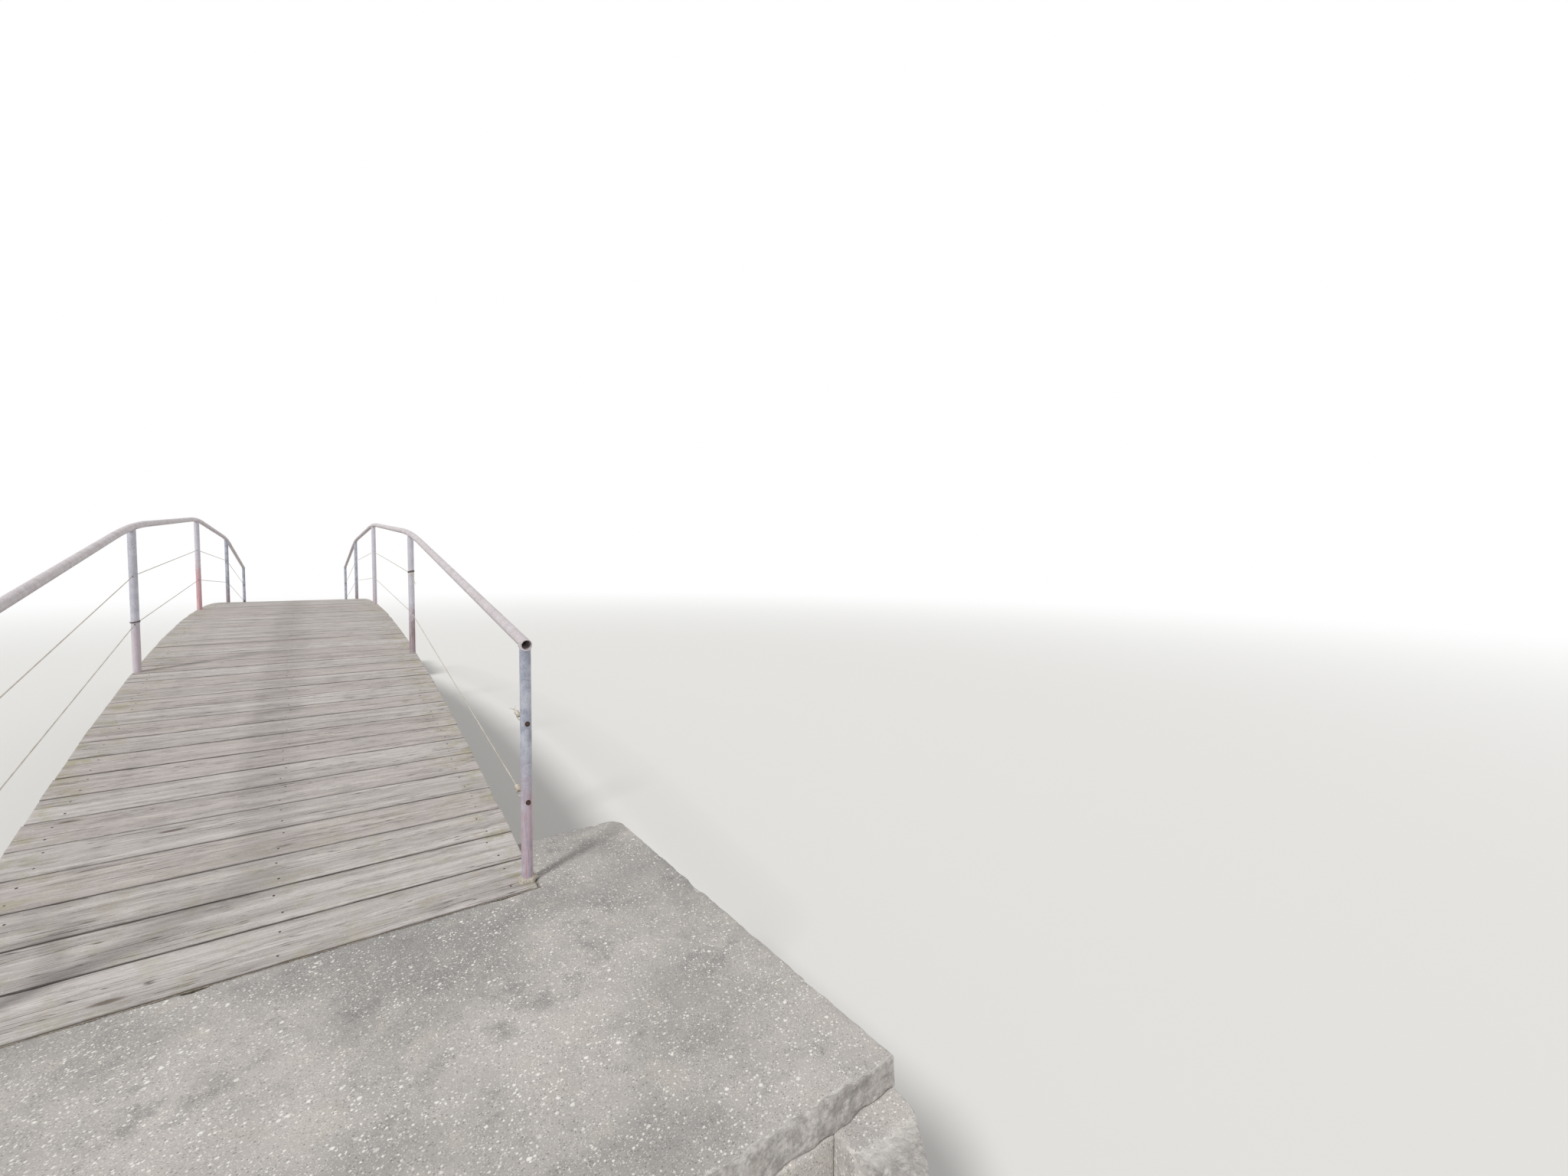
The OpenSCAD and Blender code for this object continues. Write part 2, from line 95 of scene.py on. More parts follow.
def station_y(i):
    return (i - BAYS / 2) * POST_PITCH


def foot_z(i):
    """Height of the deck's arc at a post."""
    return arc_z(ARCH_R, station_y(i))


def smooth_step(value, low, high):
    t = np.clip((value - low) / (high - low), 0, 1)
    return t * t * (3 - 2 * t)


def lumps(points, size, seed):
    """Smooth noise from -1 to 1 at each point, with lumps about one size across."""
    count = 32
    lattice = np.random.default_rng(seed).uniform(-1, 1, (count,) * 3)
    cells = np.asarray(points, float) / size
    base = np.floor(cells).astype(int)
    t = cells - base
    t = t * t * (3 - 2 * t)
    total = np.zeros(len(cells))
    for corner in itertools.product((0, 1), repeat=3):
        weight = np.prod(np.where(corner, t, 1 - t), axis=1)
        total += weight * lattice[tuple(((base + corner) % count).T)]
    return total


def layered(points, *layers):
    """Sum of lumps, from layers of (height, size, seed)."""
    return sum(height * lumps(points, size, seed) for height, size, seed in layers)


# Parts are (points, faces). Pieces of the bridge are made of them

def joined(parts):
    """One part from several."""
    points, faces, start = [], [], 0
    for part_points, part_faces in parts:
        points.append(np.asarray(part_points, float))
        faces.extend([[start + i for i in face] for face in part_faces])
        start += len(part_points)
    return np.concatenate(points), faces


def mirrored(part):
    """The same part at the bridge's other end."""
    points, faces = part
    return np.asarray(points) * (1, -1, 1), [face[::-1] for face in faces]


def make_mesh(name, points, faces, sharp_angle):
    mesh = bpy.data.meshes.new(name)
    mesh.from_pydata(np.asarray(points).tolist(), [], faces)
    mesh.polygons.foreach_set("use_smooth", [True] * len(mesh.polygons))
    mesh.set_sharp_from_angle(angle=math.radians(sharp_angle))
    mesh.update()
    return mesh


def new_object(name, data):
    thing = bpy.data.objects.new(name, data)
    bpy.context.scene.collection.objects.link(thing)
    return thing


def add_piece(name, parts, material, node=None, sharp_angle=40):
    """Adds a piece that is made of parts. It takes the node's place, or comes as an extra."""
    piece = new_object(name, make_mesh(name, *joined(parts), sharp_angle))
    piece.data.materials.append(material)
    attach(piece, "root")
    if node:
        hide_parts(node)
    return piece


def paint_node(name, material):
    """Gives a CAD node its material."""
    materials = NODES[name].data.materials
    materials.clear()
    materials.append(material)


def add_attributes(piece, **attributes):
    """Numbers or vectors for each point of a piece, by name, from lists of arrays."""
    for name, arrays in attributes.items():
        values = np.concatenate(arrays).astype(np.float32)
        vector = values.ndim == 2
        layer = piece.data.attributes.new(name, "FLOAT_VECTOR" if vector else "FLOAT", "POINT")
        layer.data.foreach_set("vector" if vector else "value", values.ravel())


# Shapes swept along a path or turned about an axis

NUT_SIDES = 36
NUT_CHAMFER = math.radians(30)


def unit(vectors):
    return vectors / np.linalg.norm(vectors, axis=-1, keepdims=True)


def square_to(axis):
    """A side and an up vector at right angles to an axis."""
    helper = np.eye(3)[np.argmin(np.abs(axis))]
    side = unit(np.cross(axis, helper))
    return side, np.cross(axis, side)


def ring_faces(rows, sides, looped=False, capped=True, flipped=False):
    """Faces that join rows of points, each row going round, and the caps at both ends."""
    row = np.arange(rows if looped else rows - 1)[:, None] * sides
    k = np.arange(sides)[None]
    after = (k + 1) % sides
    next_row = (row + sides) % (rows * sides)
    corners = [row + k, row + after, next_row + after, next_row + k]
    first, last = list(range(sides)), list(range((rows - 1) * sides, rows * sides))
    caps = [first[::-1], last]
    if flipped:
        corners = [corners[0], *corners[:0:-1]]
        caps = [first, last[::-1]]
    faces = np.stack(corners, -1).reshape(-1, 4).tolist()
    return faces + caps if capped and not looped else faces


def frames_along(path, closed):
    """A side and an up vector at each point of a path, turned as little as possible on the way."""
    ahead = np.roll(path, -1, 0) - path
    behind = path - np.roll(path, 1, 0)
    if not closed:
        ahead[-1] = behind[-1]
        behind[0] = ahead[0]
    tangents = unit(unit(ahead) + unit(behind))
    side, _ = square_to(tangents[0])
    sides = []
    for tangent in tangents:
        side = unit(side - tangent * side.dot(tangent))
        sides.append(side)
    sides = np.array(sides)
    return sides, np.cross(tangents, sides)


def sweep(path, profile, closed=False, scale=None, spin=0.0):
    """Carries a profile along a path. It turns by spin radians a metre, and scale sizes it at each point."""
    path = np.asarray(path, float)
    side, up = frames_along(path, closed)
    travelled = np.concatenate([[0], np.cumsum(np.linalg.norm(np.diff(path, axis=0), axis=1))])
    cos, sin = np.cos(spin * travelled)[:, None], np.sin(spin * travelled)[:, None]
    size = np.ones(len(path)) if scale is None else np.asarray(scale)
    across = (profile[:, 0] * cos - profile[:, 1] * sin) * size[:, None]
    upward = (profile[:, 0] * sin + profile[:, 1] * cos) * size[:, None]
    points = path[:, None] + across[..., None] * side[:, None] + upward[..., None] * up[:, None]
    return points.reshape(-1, 3), ring_faces(len(path), len(profile), closed)


def round_angles(count):
    return np.arange(count) * 2 * math.pi / count


def ring(radius, sides):
    angle = round_angles(sides)
    return np.stack([np.cos(angle), np.sin(angle)], 1) * radius


def resampled(path, step):
    """The same path with a point about every step, and one at each of its own corners."""
    points = [np.asarray(path[0], float)]
    for start, end in zip(path[:-1], path[1:]):
        start, end = np.asarray(start, float), np.asarray(end, float)
        count = max(1, round(np.linalg.norm(end - start) / step))
        points += [start + (end - start) * k / count for k in range(1, count + 1)]
    return np.array(points)


def turned(rows, centre, axis, sides=24, turn=0.0):
    """Solid about an axis from rows of (distance along it, radius), as one number or one for each side."""
    axis = unit(np.asarray(axis, float))
    side, up = square_to(axis)
    angle = round_angles(sides) + turn
    outward = np.cos(angle)[:, None] * side + np.sin(angle)[:, None] * up
    points = []
    for along, radius in rows:
        along, radius = (np.broadcast_to(value, sides)[:, None] for value in (along, radius))
        points.append(centre + axis * along + radius * outward)
    return np.concatenate(points), ring_faces(len(rows), sides)


def hex_nut(centre, axis, across_flats, height, turn=0.0):
    """Six-sided nut or bolt head with chamfered corners, its base at the centre point."""
    apothem = across_flats / 2
    from_flat = np.mod(round_angles(NUT_SIDES), math.pi / 3) - math.pi / 6
    radius = apothem / np.cos(from_flat)
    drop = (radius - apothem) * math.tan(NUT_CHAMFER)
    rows = ((0, radius * 0.97), (drop, radius), (height - drop, radius), (height, apothem * 0.95))
    return turned(rows, centre, axis, NUT_SIDES, turn)


# Materials

def colour(red, green, blue):
    """Linear colour from one given as it shows on a screen, 0 to 255."""
    shown = np.array([red, green, blue]) / 255
    linear = np.where(shown <= 0.04045, shown / 12.92, ((shown + 0.055) / 1.055) ** 2.4)
    return (*linear.tolist(), 1.0)


class Output:
    """A node's output. Adding, taking away and multiplying add nodes that do so."""

    def __init__(self, nodes, socket):
        self.nodes = nodes
        self.socket = socket

    def __add__(self, other):
        return self.nodes.math("ADD", self, other)

    def __sub__(self, other):
        return self.nodes.math("SUBTRACT", self, other)

    def __rsub__(self, other):
        return self.nodes.math("SUBTRACT", other, self)

    def __mul__(self, other):
        return self.nodes.math("MULTIPLY", self, other)


class Nodes:
    """A tree of nodes, built one by one. Values may be numbers, colours or outputs."""

    def __init__(self, tree):
        self.tree = tree

    def feed(self, socket, value):
        if isinstance(value, Output):
            self.tree.links.new(value.socket, socket)
        else:
            socket.default_value = value

    def add(self, kind, inputs, *outputs, **settings):
        """Adds a node and returns the outputs that are named."""
        node = self.tree.nodes.new("ShaderNode" + kind)
        for name, value in settings.items():
            setattr(node, name, value)
        for name, value in inputs.items():
            self.feed(node.inputs[name], value)
        found = [Output(self, node.outputs[name]) for name in outputs]
        return found if len(found) > 1 else found[0]

    def math(self, operation, first, second=0.0):
        return self.add("Math", {0: first, 1: second}, "Value", operation=operation)


class Look(Nodes):
    """A procedural material: a base colour with stains laid over it one by one."""

    def __init__(self, name, metallic=0.0):
        self.material = bpy.data.materials.new(name)
        self.material.use_nodes = True
        super().__init__(self.material.node_tree)
        self.shader = self.tree.nodes["Principled BSDF"]
        self.shader.inputs["Metallic"].default_value = metallic
        self.base = None

    def place(self):
        return self.add("TexCoord", {}, "Object")

    def attribute(self, name, output="Fac"):
        return self.add("Attribute", {}, output, attribute_name=name)

    def vector_math(self, operation, first, second, output="Vector"):
        return self.add("VectorMath", {0: first, 1: second}, output, operation=operation)

    def length(self, vector):
        return self.vector_math("LENGTH", vector, (0.0, 0.0, 0.0), "Value")

    def scaled(self, vector, factors):
        return self.vector_math("MULTIPLY", vector, factors)

    def shaken(self, vector, value, distance):
        """The vector moved along all axes by a value of 0 to 1, centred and scaled to the distance."""
        shift = (value - 0.5) * distance
        shift = self.add("CombineXYZ", {"X": shift, "Y": shift, "Z": shift}, "Vector")
        return self.vector_math("ADD", vector, shift)

    def split(self, vector, axis):
        return self.add("SeparateXYZ", {"Vector": vector}, axis)

    def noise(self, vector, scale, detail=3.0, roughness=0.55):
        """Noise from 0 to 1, its scale one number or one for each axis."""
        if isinstance(scale, tuple):
            vector, scale = self.scaled(vector, scale), 1.0
        inputs = {"Vector": vector, "Scale": scale, "Detail": detail, "Roughness": roughness}
        return self.add("TexNoise", inputs, "Fac")

    def cells(self, vector, scale):
        """Scattered cells: how far each place is from its cell's middle, and the cell's own colour."""
        return self.add("TexVoronoi", {"Vector": vector, "Scale": scale}, "Distance", "Color")

    def spots(self, vector, scale, rim, core, few, many):
        """Spots that fade in from rim to core. The range from few to many says which cells have one."""
        distance, chance = self.cells(vector, scale)
        return self.between(distance, rim, core) * self.between(chance, few, many)

    def between(self, value, low, high, new_low=0.0, new_high=1.0):
        inputs = {"Value": value, "From Min": low, "From Max": high, "To Min": new_low, "To Max": new_high}
        return self.add("MapRange", inputs, "Result", interpolation_type="SMOOTHSTEP")

    def blend(self, factor, first, second):
        return self.add("Mix", {0: factor, 6: first, 7: second}, 2, data_type="RGBA")

    def start(self, value, low, high, first, second):
        """The base: from one shade to another as the value goes from low to high."""
        self.base = self.blend(self.between(value, low, high), colour(*first), colour(*second))

    def cover(self, mask, shade):
        """Lays a shade over the base, as much as the mask says."""
        self.base = self.blend(mask, self.base, shade if isinstance(shade, Output) else colour(*shade))

    def stain(self, value, low, high, share, shade):
        """Lays a shade over the base, up to the share, as the value goes from low to high."""
        self.cover(self.between(value, low, high, 0.0, share), shade)

    def bump(self, height, strength, distance, normal=None):
        inputs = {"Height": height, "Strength": strength, "Distance": distance}
        if normal is not None:
            inputs["Normal"] = normal
        return self.add("Bump", inputs, "Normal")

    def finish(self, roughness, normal=None):
        self.feed(self.shader.inputs["Base Color"], self.base)
        self.feed(self.shader.inputs["Roughness"], roughness)
        if normal is not None:
            self.feed(self.shader.inputs["Normal"], normal)
        return self.material


def deck_wood():
    """Bare planks, weathered grey, stained at the seams and mossy towards the ends."""
    look = Look("deck_wood")
    place = look.place()
    grain = look.attribute("grain", "Vector")
    wander = look.noise(grain, (1.3, 9.0, 9.0), 2.0)
    from_pith = look.length(look.scaled(grain, (0.0, 1.0, 1.0)))
    rings = look.between(look.math("SINE", from_pith * 900.0 + wander * 22.0), -0.2, 1.0)
    broad = look.noise(grain, (0.9, 22.0, 22.0), 4.0, 0.6)
    fine = look.noise(grain, (8.0, 260.0, 260.0), 5.0, 0.7)
    hair = look.noise(grain, (16.0, 760.0, 760.0), 3.0, 0.65)
    fleck = look.noise(place, (110.0, 260.0, 260.0), 2.0, 0.6)
    blotch = look.noise(place, 3.1, 4.0, 0.6)
    mottle = look.noise(grain, (7.0, 34.0, 34.0), 5.0, 0.7)

    look.start(broad, 0.30, 0.70, (170, 164, 161), (208, 202, 199))
    look.stain(look.attribute("tone"), 0.0, 1.0, 0.45, (178, 168, 162))
    look.cover(rings * 0.20, (140, 128, 118))
    look.stain(mottle, 0.52, 0.72, 0.55, (124, 117, 112))
    look.stain(fine, 0.47, 0.30, 0.70, (96, 89, 85))
    look.stain(fine, 0.56, 0.74, 0.55, (226, 221, 217))
    look.stain(hair, 0.44, 0.28, 0.55, (82, 75, 71))
    look.stain(fleck, 0.62, 0.74, 0.6, (232, 228, 224))
    look.stain(blotch, 0.54, 0.72, 0.28, (120, 115, 113))

    off_line = look.math("ABSOLUTE", look.noise(grain, (1.6, 62.0, 62.0), 2.0, 0.5) - 0.5)
    checked = look.between(look.noise(grain, (1.1, 14.0, 14.0), 2.0), 0.46, 0.58)
    checks = look.between(off_line, 0.017, 0.004) * checked
    look.cover(checks * 0.75, (66, 58, 53))
    knot = look.spots(look.scaled(grain, (1.6, 7.0, 2.0)), 1.0, 0.11, 0.05, 0.62, 0.64)
    look.cover(knot * 0.75, (84, 68, 57))

    near_end = look.between(look.split(place, "Y"), -5.9, -7.2)
    damp = look.math("MAXIMUM", look.between(look.attribute("reach"), 0.30, 0.02), near_end * 0.45)
    moss = damp * look.between(look.noise(place, 9.0, 5.0, 0.7), 0.46, 0.68)
    look.cover(moss * 0.55, (150, 146, 104))
    soaked = look.noise(grain, (6.0, 60.0, 60.0), 5.0, 0.75)
    grime = look.between(look.attribute("seam") + 0.004 - soaked * 0.020, 0.004, -0.008)
    look.cover(grime * 0.7, (76, 68, 61))
    dirt = look.between(look.noise(place, 55.0, 5.0, 0.75), 0.60, 0.78)
    look.cover(dirt * 0.45, (90, 79, 68))

    normal = look.bump(fine * 0.7 + hair * 0.3 - checks * 0.8, 0.75, 0.0022)
    normal = look.bump(rings, 0.18, 0.0012, normal)
    return look.finish(look.between(fine, 0.2, 0.8, 0.93, 0.76), normal)


def frame_timber(name, laminated):
    """Brown timber under the deck. Laminated boards carry their own grain and tone, others run along X."""
    look = Look(name)
    place = look.place()
    grain = look.attribute("grain", "Vector") if laminated else place
    broad = look.noise(grain, (0.8, 16.0, 16.0), 4.0, 0.6)
    fine = look.noise(grain, (4.0, 190.0, 190.0), 5.0, 0.68)
    hair = look.noise(grain, (11.0, 640.0, 640.0), 3.0, 0.6)
    wander = look.noise(grain, (1.1, 12.0, 12.0), 2.0)
    depth = look.split(grain, "Z") + look.split(grain, "Y") * 0.4
    rings = look.between(look.math("SINE", depth * 760.0 + wander * 26.0), -0.1, 1.0)
    look.start(broad, 0.3, 0.7, (106, 88, 68), (148, 125, 98))
    if laminated:
        tone = look.attribute("tone")
        look.stain(tone, 0.5, 1.0, 0.45, (158, 133, 101))
        look.stain(tone, 0.5, 0.0, 0.45, (92, 78, 62))
    look.cover(rings * 0.34, (88, 68, 50))
    look.stain(fine, 0.46, 0.30, 0.6, (66, 51, 38))
    look.stain(fine, 0.57, 0.75, 0.45, (174, 155, 128))
    look.stain(hair, 0.42, 0.28, 0.4, (58, 45, 35))
    runs = look.noise(place, (5.0, 5.0, 0.6), 5.0, 0.7)
    look.stain(runs, 0.50, 0.72, 0.55, (88, 84, 78))
    look.stain(look.noise(place, 4.0, 5.0, 0.7), 0.58, 0.76, 0.35, (92, 92, 62))
    normal = look.bump(fine * 0.6 + hair * 0.3 + rings * 0.12, 0.7, 0.002)
    return look.finish(look.between(fine, 0.2, 0.8, 0.92, 0.74), normal)


# Aggregate that shows in worn concrete: rows of scale, the chances from few to many, size and strength
AGGREGATE = ((44.0, 0.80, 0.85, 0.36, 1.0), (95.0, 0.66, 0.72, 0.44, 0.95), (190.0, 0.50, 0.60, 0.46, 0.6))
BOARD_MARKS_PER_M = 5.3


def concrete():
    """Old cast concrete: its paste is worn off the top, so that the aggregate shows as pale specks."""
    look = Look("concrete")
    place = look.place()
    cloud = look.noise(place, 1.4, 5.0, 0.6)
    patch = look.noise(place, 6.5, 5.0, 0.65)
    rubble = look.noise(place, 34.0, 6.0, 0.75)
    sand = look.noise(place, 260.0, 3.0, 0.7)
    grit = look.noise(place, 85.0, 4.0, 0.7)
    ragged_break = look.attribute("broken") + (rubble - 0.5)
    broken = look.between(ragged_break, 0.35, 0.60)
    chipped = look.between(ragged_break, 0.22, 0.40) * look.between(ragged_break, 0.72, 0.50)
    look.start(cloud, 0.32, 0.68, (152, 149, 146), (194, 188, 183))
    look.stain(patch, 0.52, 0.72, 0.55, (122, 120, 119))
    look.stain(patch, 0.45, 0.30, 0.45, (198, 191, 181))
    look.stain(sand, 0.48, 0.28, 0.55, (92, 90, 89))
    look.stain(sand, 0.56, 0.78, 0.5, (214, 210, 203))
    look.stain(grit, 0.55, 0.75, 0.35, (104, 100, 96))

    ragged = look.shaken(place, look.noise(place, 140.0, 2.0, 0.6), 0.006)
    specks = 0.0
    for scale, few, many, size, strength in AGGREGATE:
        speck = look.spots(ragged, scale, size, size * 0.55, few, many)
        specks = look.math("MAXIMUM", speck * strength, specks)
    specks = specks * look.between(look.noise(place, 4.2, 3.0, 0.6), 0.30, 0.62, 0.5, 1.0)
    look.cover(specks, (240, 237, 231))
    look.cover(look.spots(place, 120.0, 0.38, 0.2, 0.38, 0.30) * 0.5, (84, 81, 79))

    facing = look.split(look.add("NewGeometry", {}, "Normal"), "Z")
    wall = look.between(look.math("ABSOLUTE", facing), 0.7, 0.3) * (1.0 - broken)
    streaks = look.noise(place, (9.0, 9.0, 0.8), 5.0, 0.65)
    look.cover(wall * look.between(streaks, 0.48, 0.70) * 0.6, (98, 95, 89))
    damp = look.between(look.split(place, "Z"), 0.75, 0.0) * look.between(patch, 0.35, 0.62)
    look.cover(damp * 0.55, (98, 98, 76))

    stone = look.spots(ragged, 70.0, 0.46, 0.36, 0.62, 0.70)
    fracture = look.blend(look.between(rubble, 0.35, 0.65), colour(150, 145, 142), colour(202, 197, 192))
    fracture = look.blend(stone * 0.4, fracture, colour(222, 218, 212))
    fracture = look.blend(look.between(grit, 0.52, 0.74, 0.0, 0.35), fracture, colour(126, 120, 116))
    fracture = look.blend(look.between(patch, 0.52, 0.72, 0.0, 0.4), fracture, colour(142, 134, 122))
    look.cover(broken * 0.85, fracture)
    look.cover(chipped * 0.6, (224, 220, 214))

    boards = look.math("FRACT", look.split(place, "Z") * BOARD_MARKS_PER_M)
    board_edge = look.between(look.math("ABSOLUTE", boards - 0.5), 0.465, 0.5) * wall
    normal = look.bump(sand * 0.35 + grit * 0.65 + specks * 0.35 - board_edge * 0.9, 0.6, 0.003)
    distance, _ = look.cells(ragged, 48.0)
    normal = look.bump(broken * (rubble - distance * 0.6), 0.7, 0.011, normal)
    return look.finish(look.between(sand, 0.2, 0.8, 0.97, 0.82), normal)


def pipe_paint(name, tint, share, low_top=None, low_shade=None, red=0.0):
    """Worn grey-blue paint on pipe, with a share of a tint. Below the height low_top another shade shows."""
    look = Look(name)
    place = look.place()
    blotch = look.noise(place, 14.0, 4.0, 0.65)
    streak = look.noise(place, (80.0, 80.0, 5.0), 5.0, 0.7)
    speck = look.noise(place, 190.0, 3.0, 0.7)
    look.start(blotch, 0.32, 0.68, (144, 150, 165), (190, 193, 205))
    look.cover(share, tint)
    look.stain(streak, 0.52, 0.72, 0.5, (202, 200, 206))
    look.stain(speck, 0.50, 0.36, 0.35, (92, 95, 106))
    if low_top is not None:
        low = look.between(look.split(place, "Z") + blotch * 0.5, low_top + 0.45, low_top + 0.10)
        look.cover(low * look.between(streak, 0.36, 0.60, 0.35, 0.9), low_shade)
        fine_streak = look.noise(place, (150.0, 150.0, 9.0), 4.0, 0.7)
        look.cover(low * look.between(fine_streak, 0.50, 0.64, 0.0, red), (172, 92, 88))
    chips = look.between(look.noise(place, 42.0, 5.0, 0.75), 0.63, 0.70)
    look.cover(chips * 0.8, (110, 74, 58))
    normal = look.bump(speck * 0.5 - chips, 0.45, 0.0009)
    return look.finish(look.between(blotch, 0.3, 0.7, 0.62, 0.42), normal)


def rusty_steel(name, dark, pale, rust, metallic=0.25):
    """Bare steel under rust."""
    look = Look(name, metallic)
    place = look.place()
    bloom = look.noise(place, 90.0, 5.0, 0.7)
    speck = look.noise(place, 420.0, 3.0, 0.7)
    look.start(bloom, 0.35, 0.65, dark, pale)
    look.stain(speck, 0.55, 0.72, 0.6, rust)
    return look.finish(look.between(bloom, 0.3, 0.7, 0.88, 0.62), look.bump(bloom + speck * 0.5, 0.6, 0.0008))


def steel_wire():
    look = Look("steel_wire", 0.35)
    place = look.place()
    bloom = look.noise(place, 11.0, 5.0, 0.7)
    speck = look.noise(place, 300.0, 3.0, 0.7)
    look.start(bloom, 0.35, 0.65, (182, 172, 156), (206, 201, 190))
    look.stain(bloom, 0.58, 0.72, 0.7, (138, 98, 68))
    look.stain(speck, 0.55, 0.72, 0.5, (112, 92, 76))
    return look.finish(look.between(speck, 0.3, 0.7, 0.62, 0.42), look.bump(speck, 0.3, 0.0004))


def mortar():
    look = Look("mortar")
    grit = look.noise(look.place(), 120.0, 4.0, 0.7)
    look.start(grit, 0.3, 0.7, (150, 142, 130), (200, 192, 178))
    return look.finish(0.95, look.bump(grit, 0.6, 0.002))


def packed_dirt():
    look = Look("packed_dirt")
    place = look.place()
    grit = look.noise(place, 160.0, 5.0, 0.75)
    look.start(grit, 0.35, 0.65, (104, 94, 84), (172, 162, 150))
    look.stain(look.noise(place, 12.0, 4.0, 0.65), 0.5, 0.7, 0.5, (126, 120, 92))
    return look.finish(0.97, look.bump(grit, 0.8, 0.002))


CONCRETE = concrete()
DECK_WOOD = deck_wood()
STRINGER_WOOD = frame_timber("stringer_wood", True)
BLOCKING_WOOD = frame_timber("blocking_wood", False)
RUST = rusty_steel("rusty_steel", (50, 38, 33), (86, 62, 50), (126, 88, 64))
SHOE_STEEL = rusty_steel("shoe_steel", (96, 94, 92), (128, 122, 114), (126, 84, 58), 0.4)
WIRE = steel_wire()
MORTAR = mortar()
DIRT = packed_dirt()


# Cast concrete: the outer faces of solid cells on a grid, worn at the arrises

CLOSE_LINES = (0.0, 0.005, 0.013)
ARRIS_R = 0.008
CHIP_R = 0.026
BREAK_STRIP = 0.10
NEAR_STEP = 0.016
FAR_STEP = 0.032
SEAT_STEP = 0.042
WALL_STEP = 0.034
BROKEN_WALL_STEP = 0.025
THIN_STEP = 0.020
THIN_BLOCK = 0.3
FACE_SINK = 0.0008
LANDING_BREAK = np.array([-0.045, -0.080])
WALL_BREAK = np.array([-0.130, 0.190])
WALL_BREAK_H = 0.42
BREAK_FADE_H = 0.24
TINY = 1e-6


def grid_line(low, high, step, marks):
    """Places from low to high about a step apart, with closer ones beside both ends and each mark."""
    corners = (low, high, *marks)
    places = {p for p in np.linspace(low, high, max(2, round((high - low) / step)) + 1)
              if all(abs(p - corner) > CLOSE_LINES[-1] * 1.4 for corner in corners)}
    for corner, offset in itertools.product(corners, CLOSE_LINES):
        places.update(p for p in (corner - offset, corner + offset) if low <= p <= high)
    return np.array(sorted({round(float(p), 6) for p in places}))


def shell(lines, solid):
    """Points and outward quads of the faces between solid and empty cells."""
    shape = [len(line) for line in lines]
    padded = np.pad(solid, 1)
    steps = np.eye(3, dtype=int)
    quads = []
    for axis, side in itertools.product(range(3), (0, 1)):
        beside = np.roll(padded, -1 if side else 1, axis)[1:-1, 1:-1, 1:-1]
        first = np.argwhere(solid & ~beside)
        first[:, axis] += side
        step_b, step_c = steps[(axis + 1) % 3], steps[(axis + 2) % 3]
        corners = [first, first + step_b, first + step_b + step_c, first + step_c]
        if not side:
            corners.reverse()
        quads.append(np.stack([np.ravel_multi_index(corner.T, shape) for corner in corners], 1))
    used, index = np.unique(np.concatenate(quads), return_inverse=True)
    i, j, k = np.unravel_index(used, shape)
    return np.stack([lines[0][i], lines[1][j], lines[2][k]], 1), index.reshape(-1, 4)


def reach_inside(line, solid, axis):
    """For each cell, the first open place below and above it along an axis."""
    cells = np.moveaxis(solid, axis, 0)
    low, high = line[:-1, None, None], line[1:, None, None]
    below = np.maximum.accumulate(np.where(cells, line[0], high))
    above = np.minimum.accumulate(np.where(cells, line[-1], low)[::-1])[::-1]
    return np.moveaxis(below, 0, axis), np.moveaxis(above, 0, axis)


def outward_pulls(lines, solid, points, quads, radius):
    """How far each point lies, on each axis, outside a body that is smaller by the radius all round."""
    a, b, c = (points[quads[:, k]] for k in (0, 1, 2))
    normals = unit(np.cross(b - a, c - b))
    sums = np.zeros_like(points)
    for k in range(4):
        np.add.at(sums, quads[:, k], normals)
    index = np.stack([np.searchsorted(line, points[:, k] - TINY) for k, line in enumerate(lines)], 1)
    cell = np.clip(np.where(sums > 0.5, index - 1, index), 0, np.array(solid.shape) - 1)
    here = tuple(cell.T)
    pulls = np.zeros_like(points)
    for axis in range(3):
        below, above = reach_inside(lines[axis], solid, axis)
        pulls[:, axis] += np.clip(radius - (above[here] - points[:, axis]), 0, None)
        pulls[:, axis] -= np.clip(radius - (points[:, axis] - below[here]), 0, None)
    return pulls


def worn(lines, solid, radius_at, seed):
    """Points, faces and freshness of a body on a grid, its arrises rounded and its faces roughened."""
    points, quads = shell(lines, solid)
    radius = radius_at(points)
    pulls = outward_pulls(lines, solid, points, quads, radius)
    length = np.linalg.norm(pulls, axis=1)
    outward = pulls / np.maximum(length, 1e-9)[:, None]
    broken = smooth_step(length / radius, 1.02, 1.25) * smooth_step(radius, 0.010, 0.035)
    rough = layered(points, (0.0011, 0.11, seed), (0.0006, 0.032, seed + 1)) - FACE_SINK
    rough += broken * layered(points, (0.0055, 0.045, seed + 2), (0.003, 0.019, seed + 3))
    moved = points - pulls + outward * (radius + rough)[:, None]
    return np.clip(moved, [line[0] for line in lines], [line[-1] for line in lines]), quads, broken


def plain_wear(seed):
    """Wear of a sound arris: a few millimetres, with a chip here and there."""
    def radius_at(points):
        chips = smooth_step(lumps(points, 0.075, seed), 0.42, 0.85)
        return ARRIS_R + 0.003 * lumps(points, 0.03, seed + 5) + CHIP_R * chips
    return radius_at


def pull_corner(points, corner, inward, low_z):
    """Moves the points of a lost upright corner inward to its break, which fades in above low_z."""
    share = (points[:, :2] - corner) / inward
    missing = np.clip(1 - share.sum(1), 0, 1) * smooth_step(points[:, 2], low_z, low_z + BREAK_FADE_H)
    ragged = 1 + 0.16 * lumps(points, 0.09, 77)
    moved = points.copy()
    moved[:, :2] += inward * (missing * ragged / 2)[:, None]
    return moved


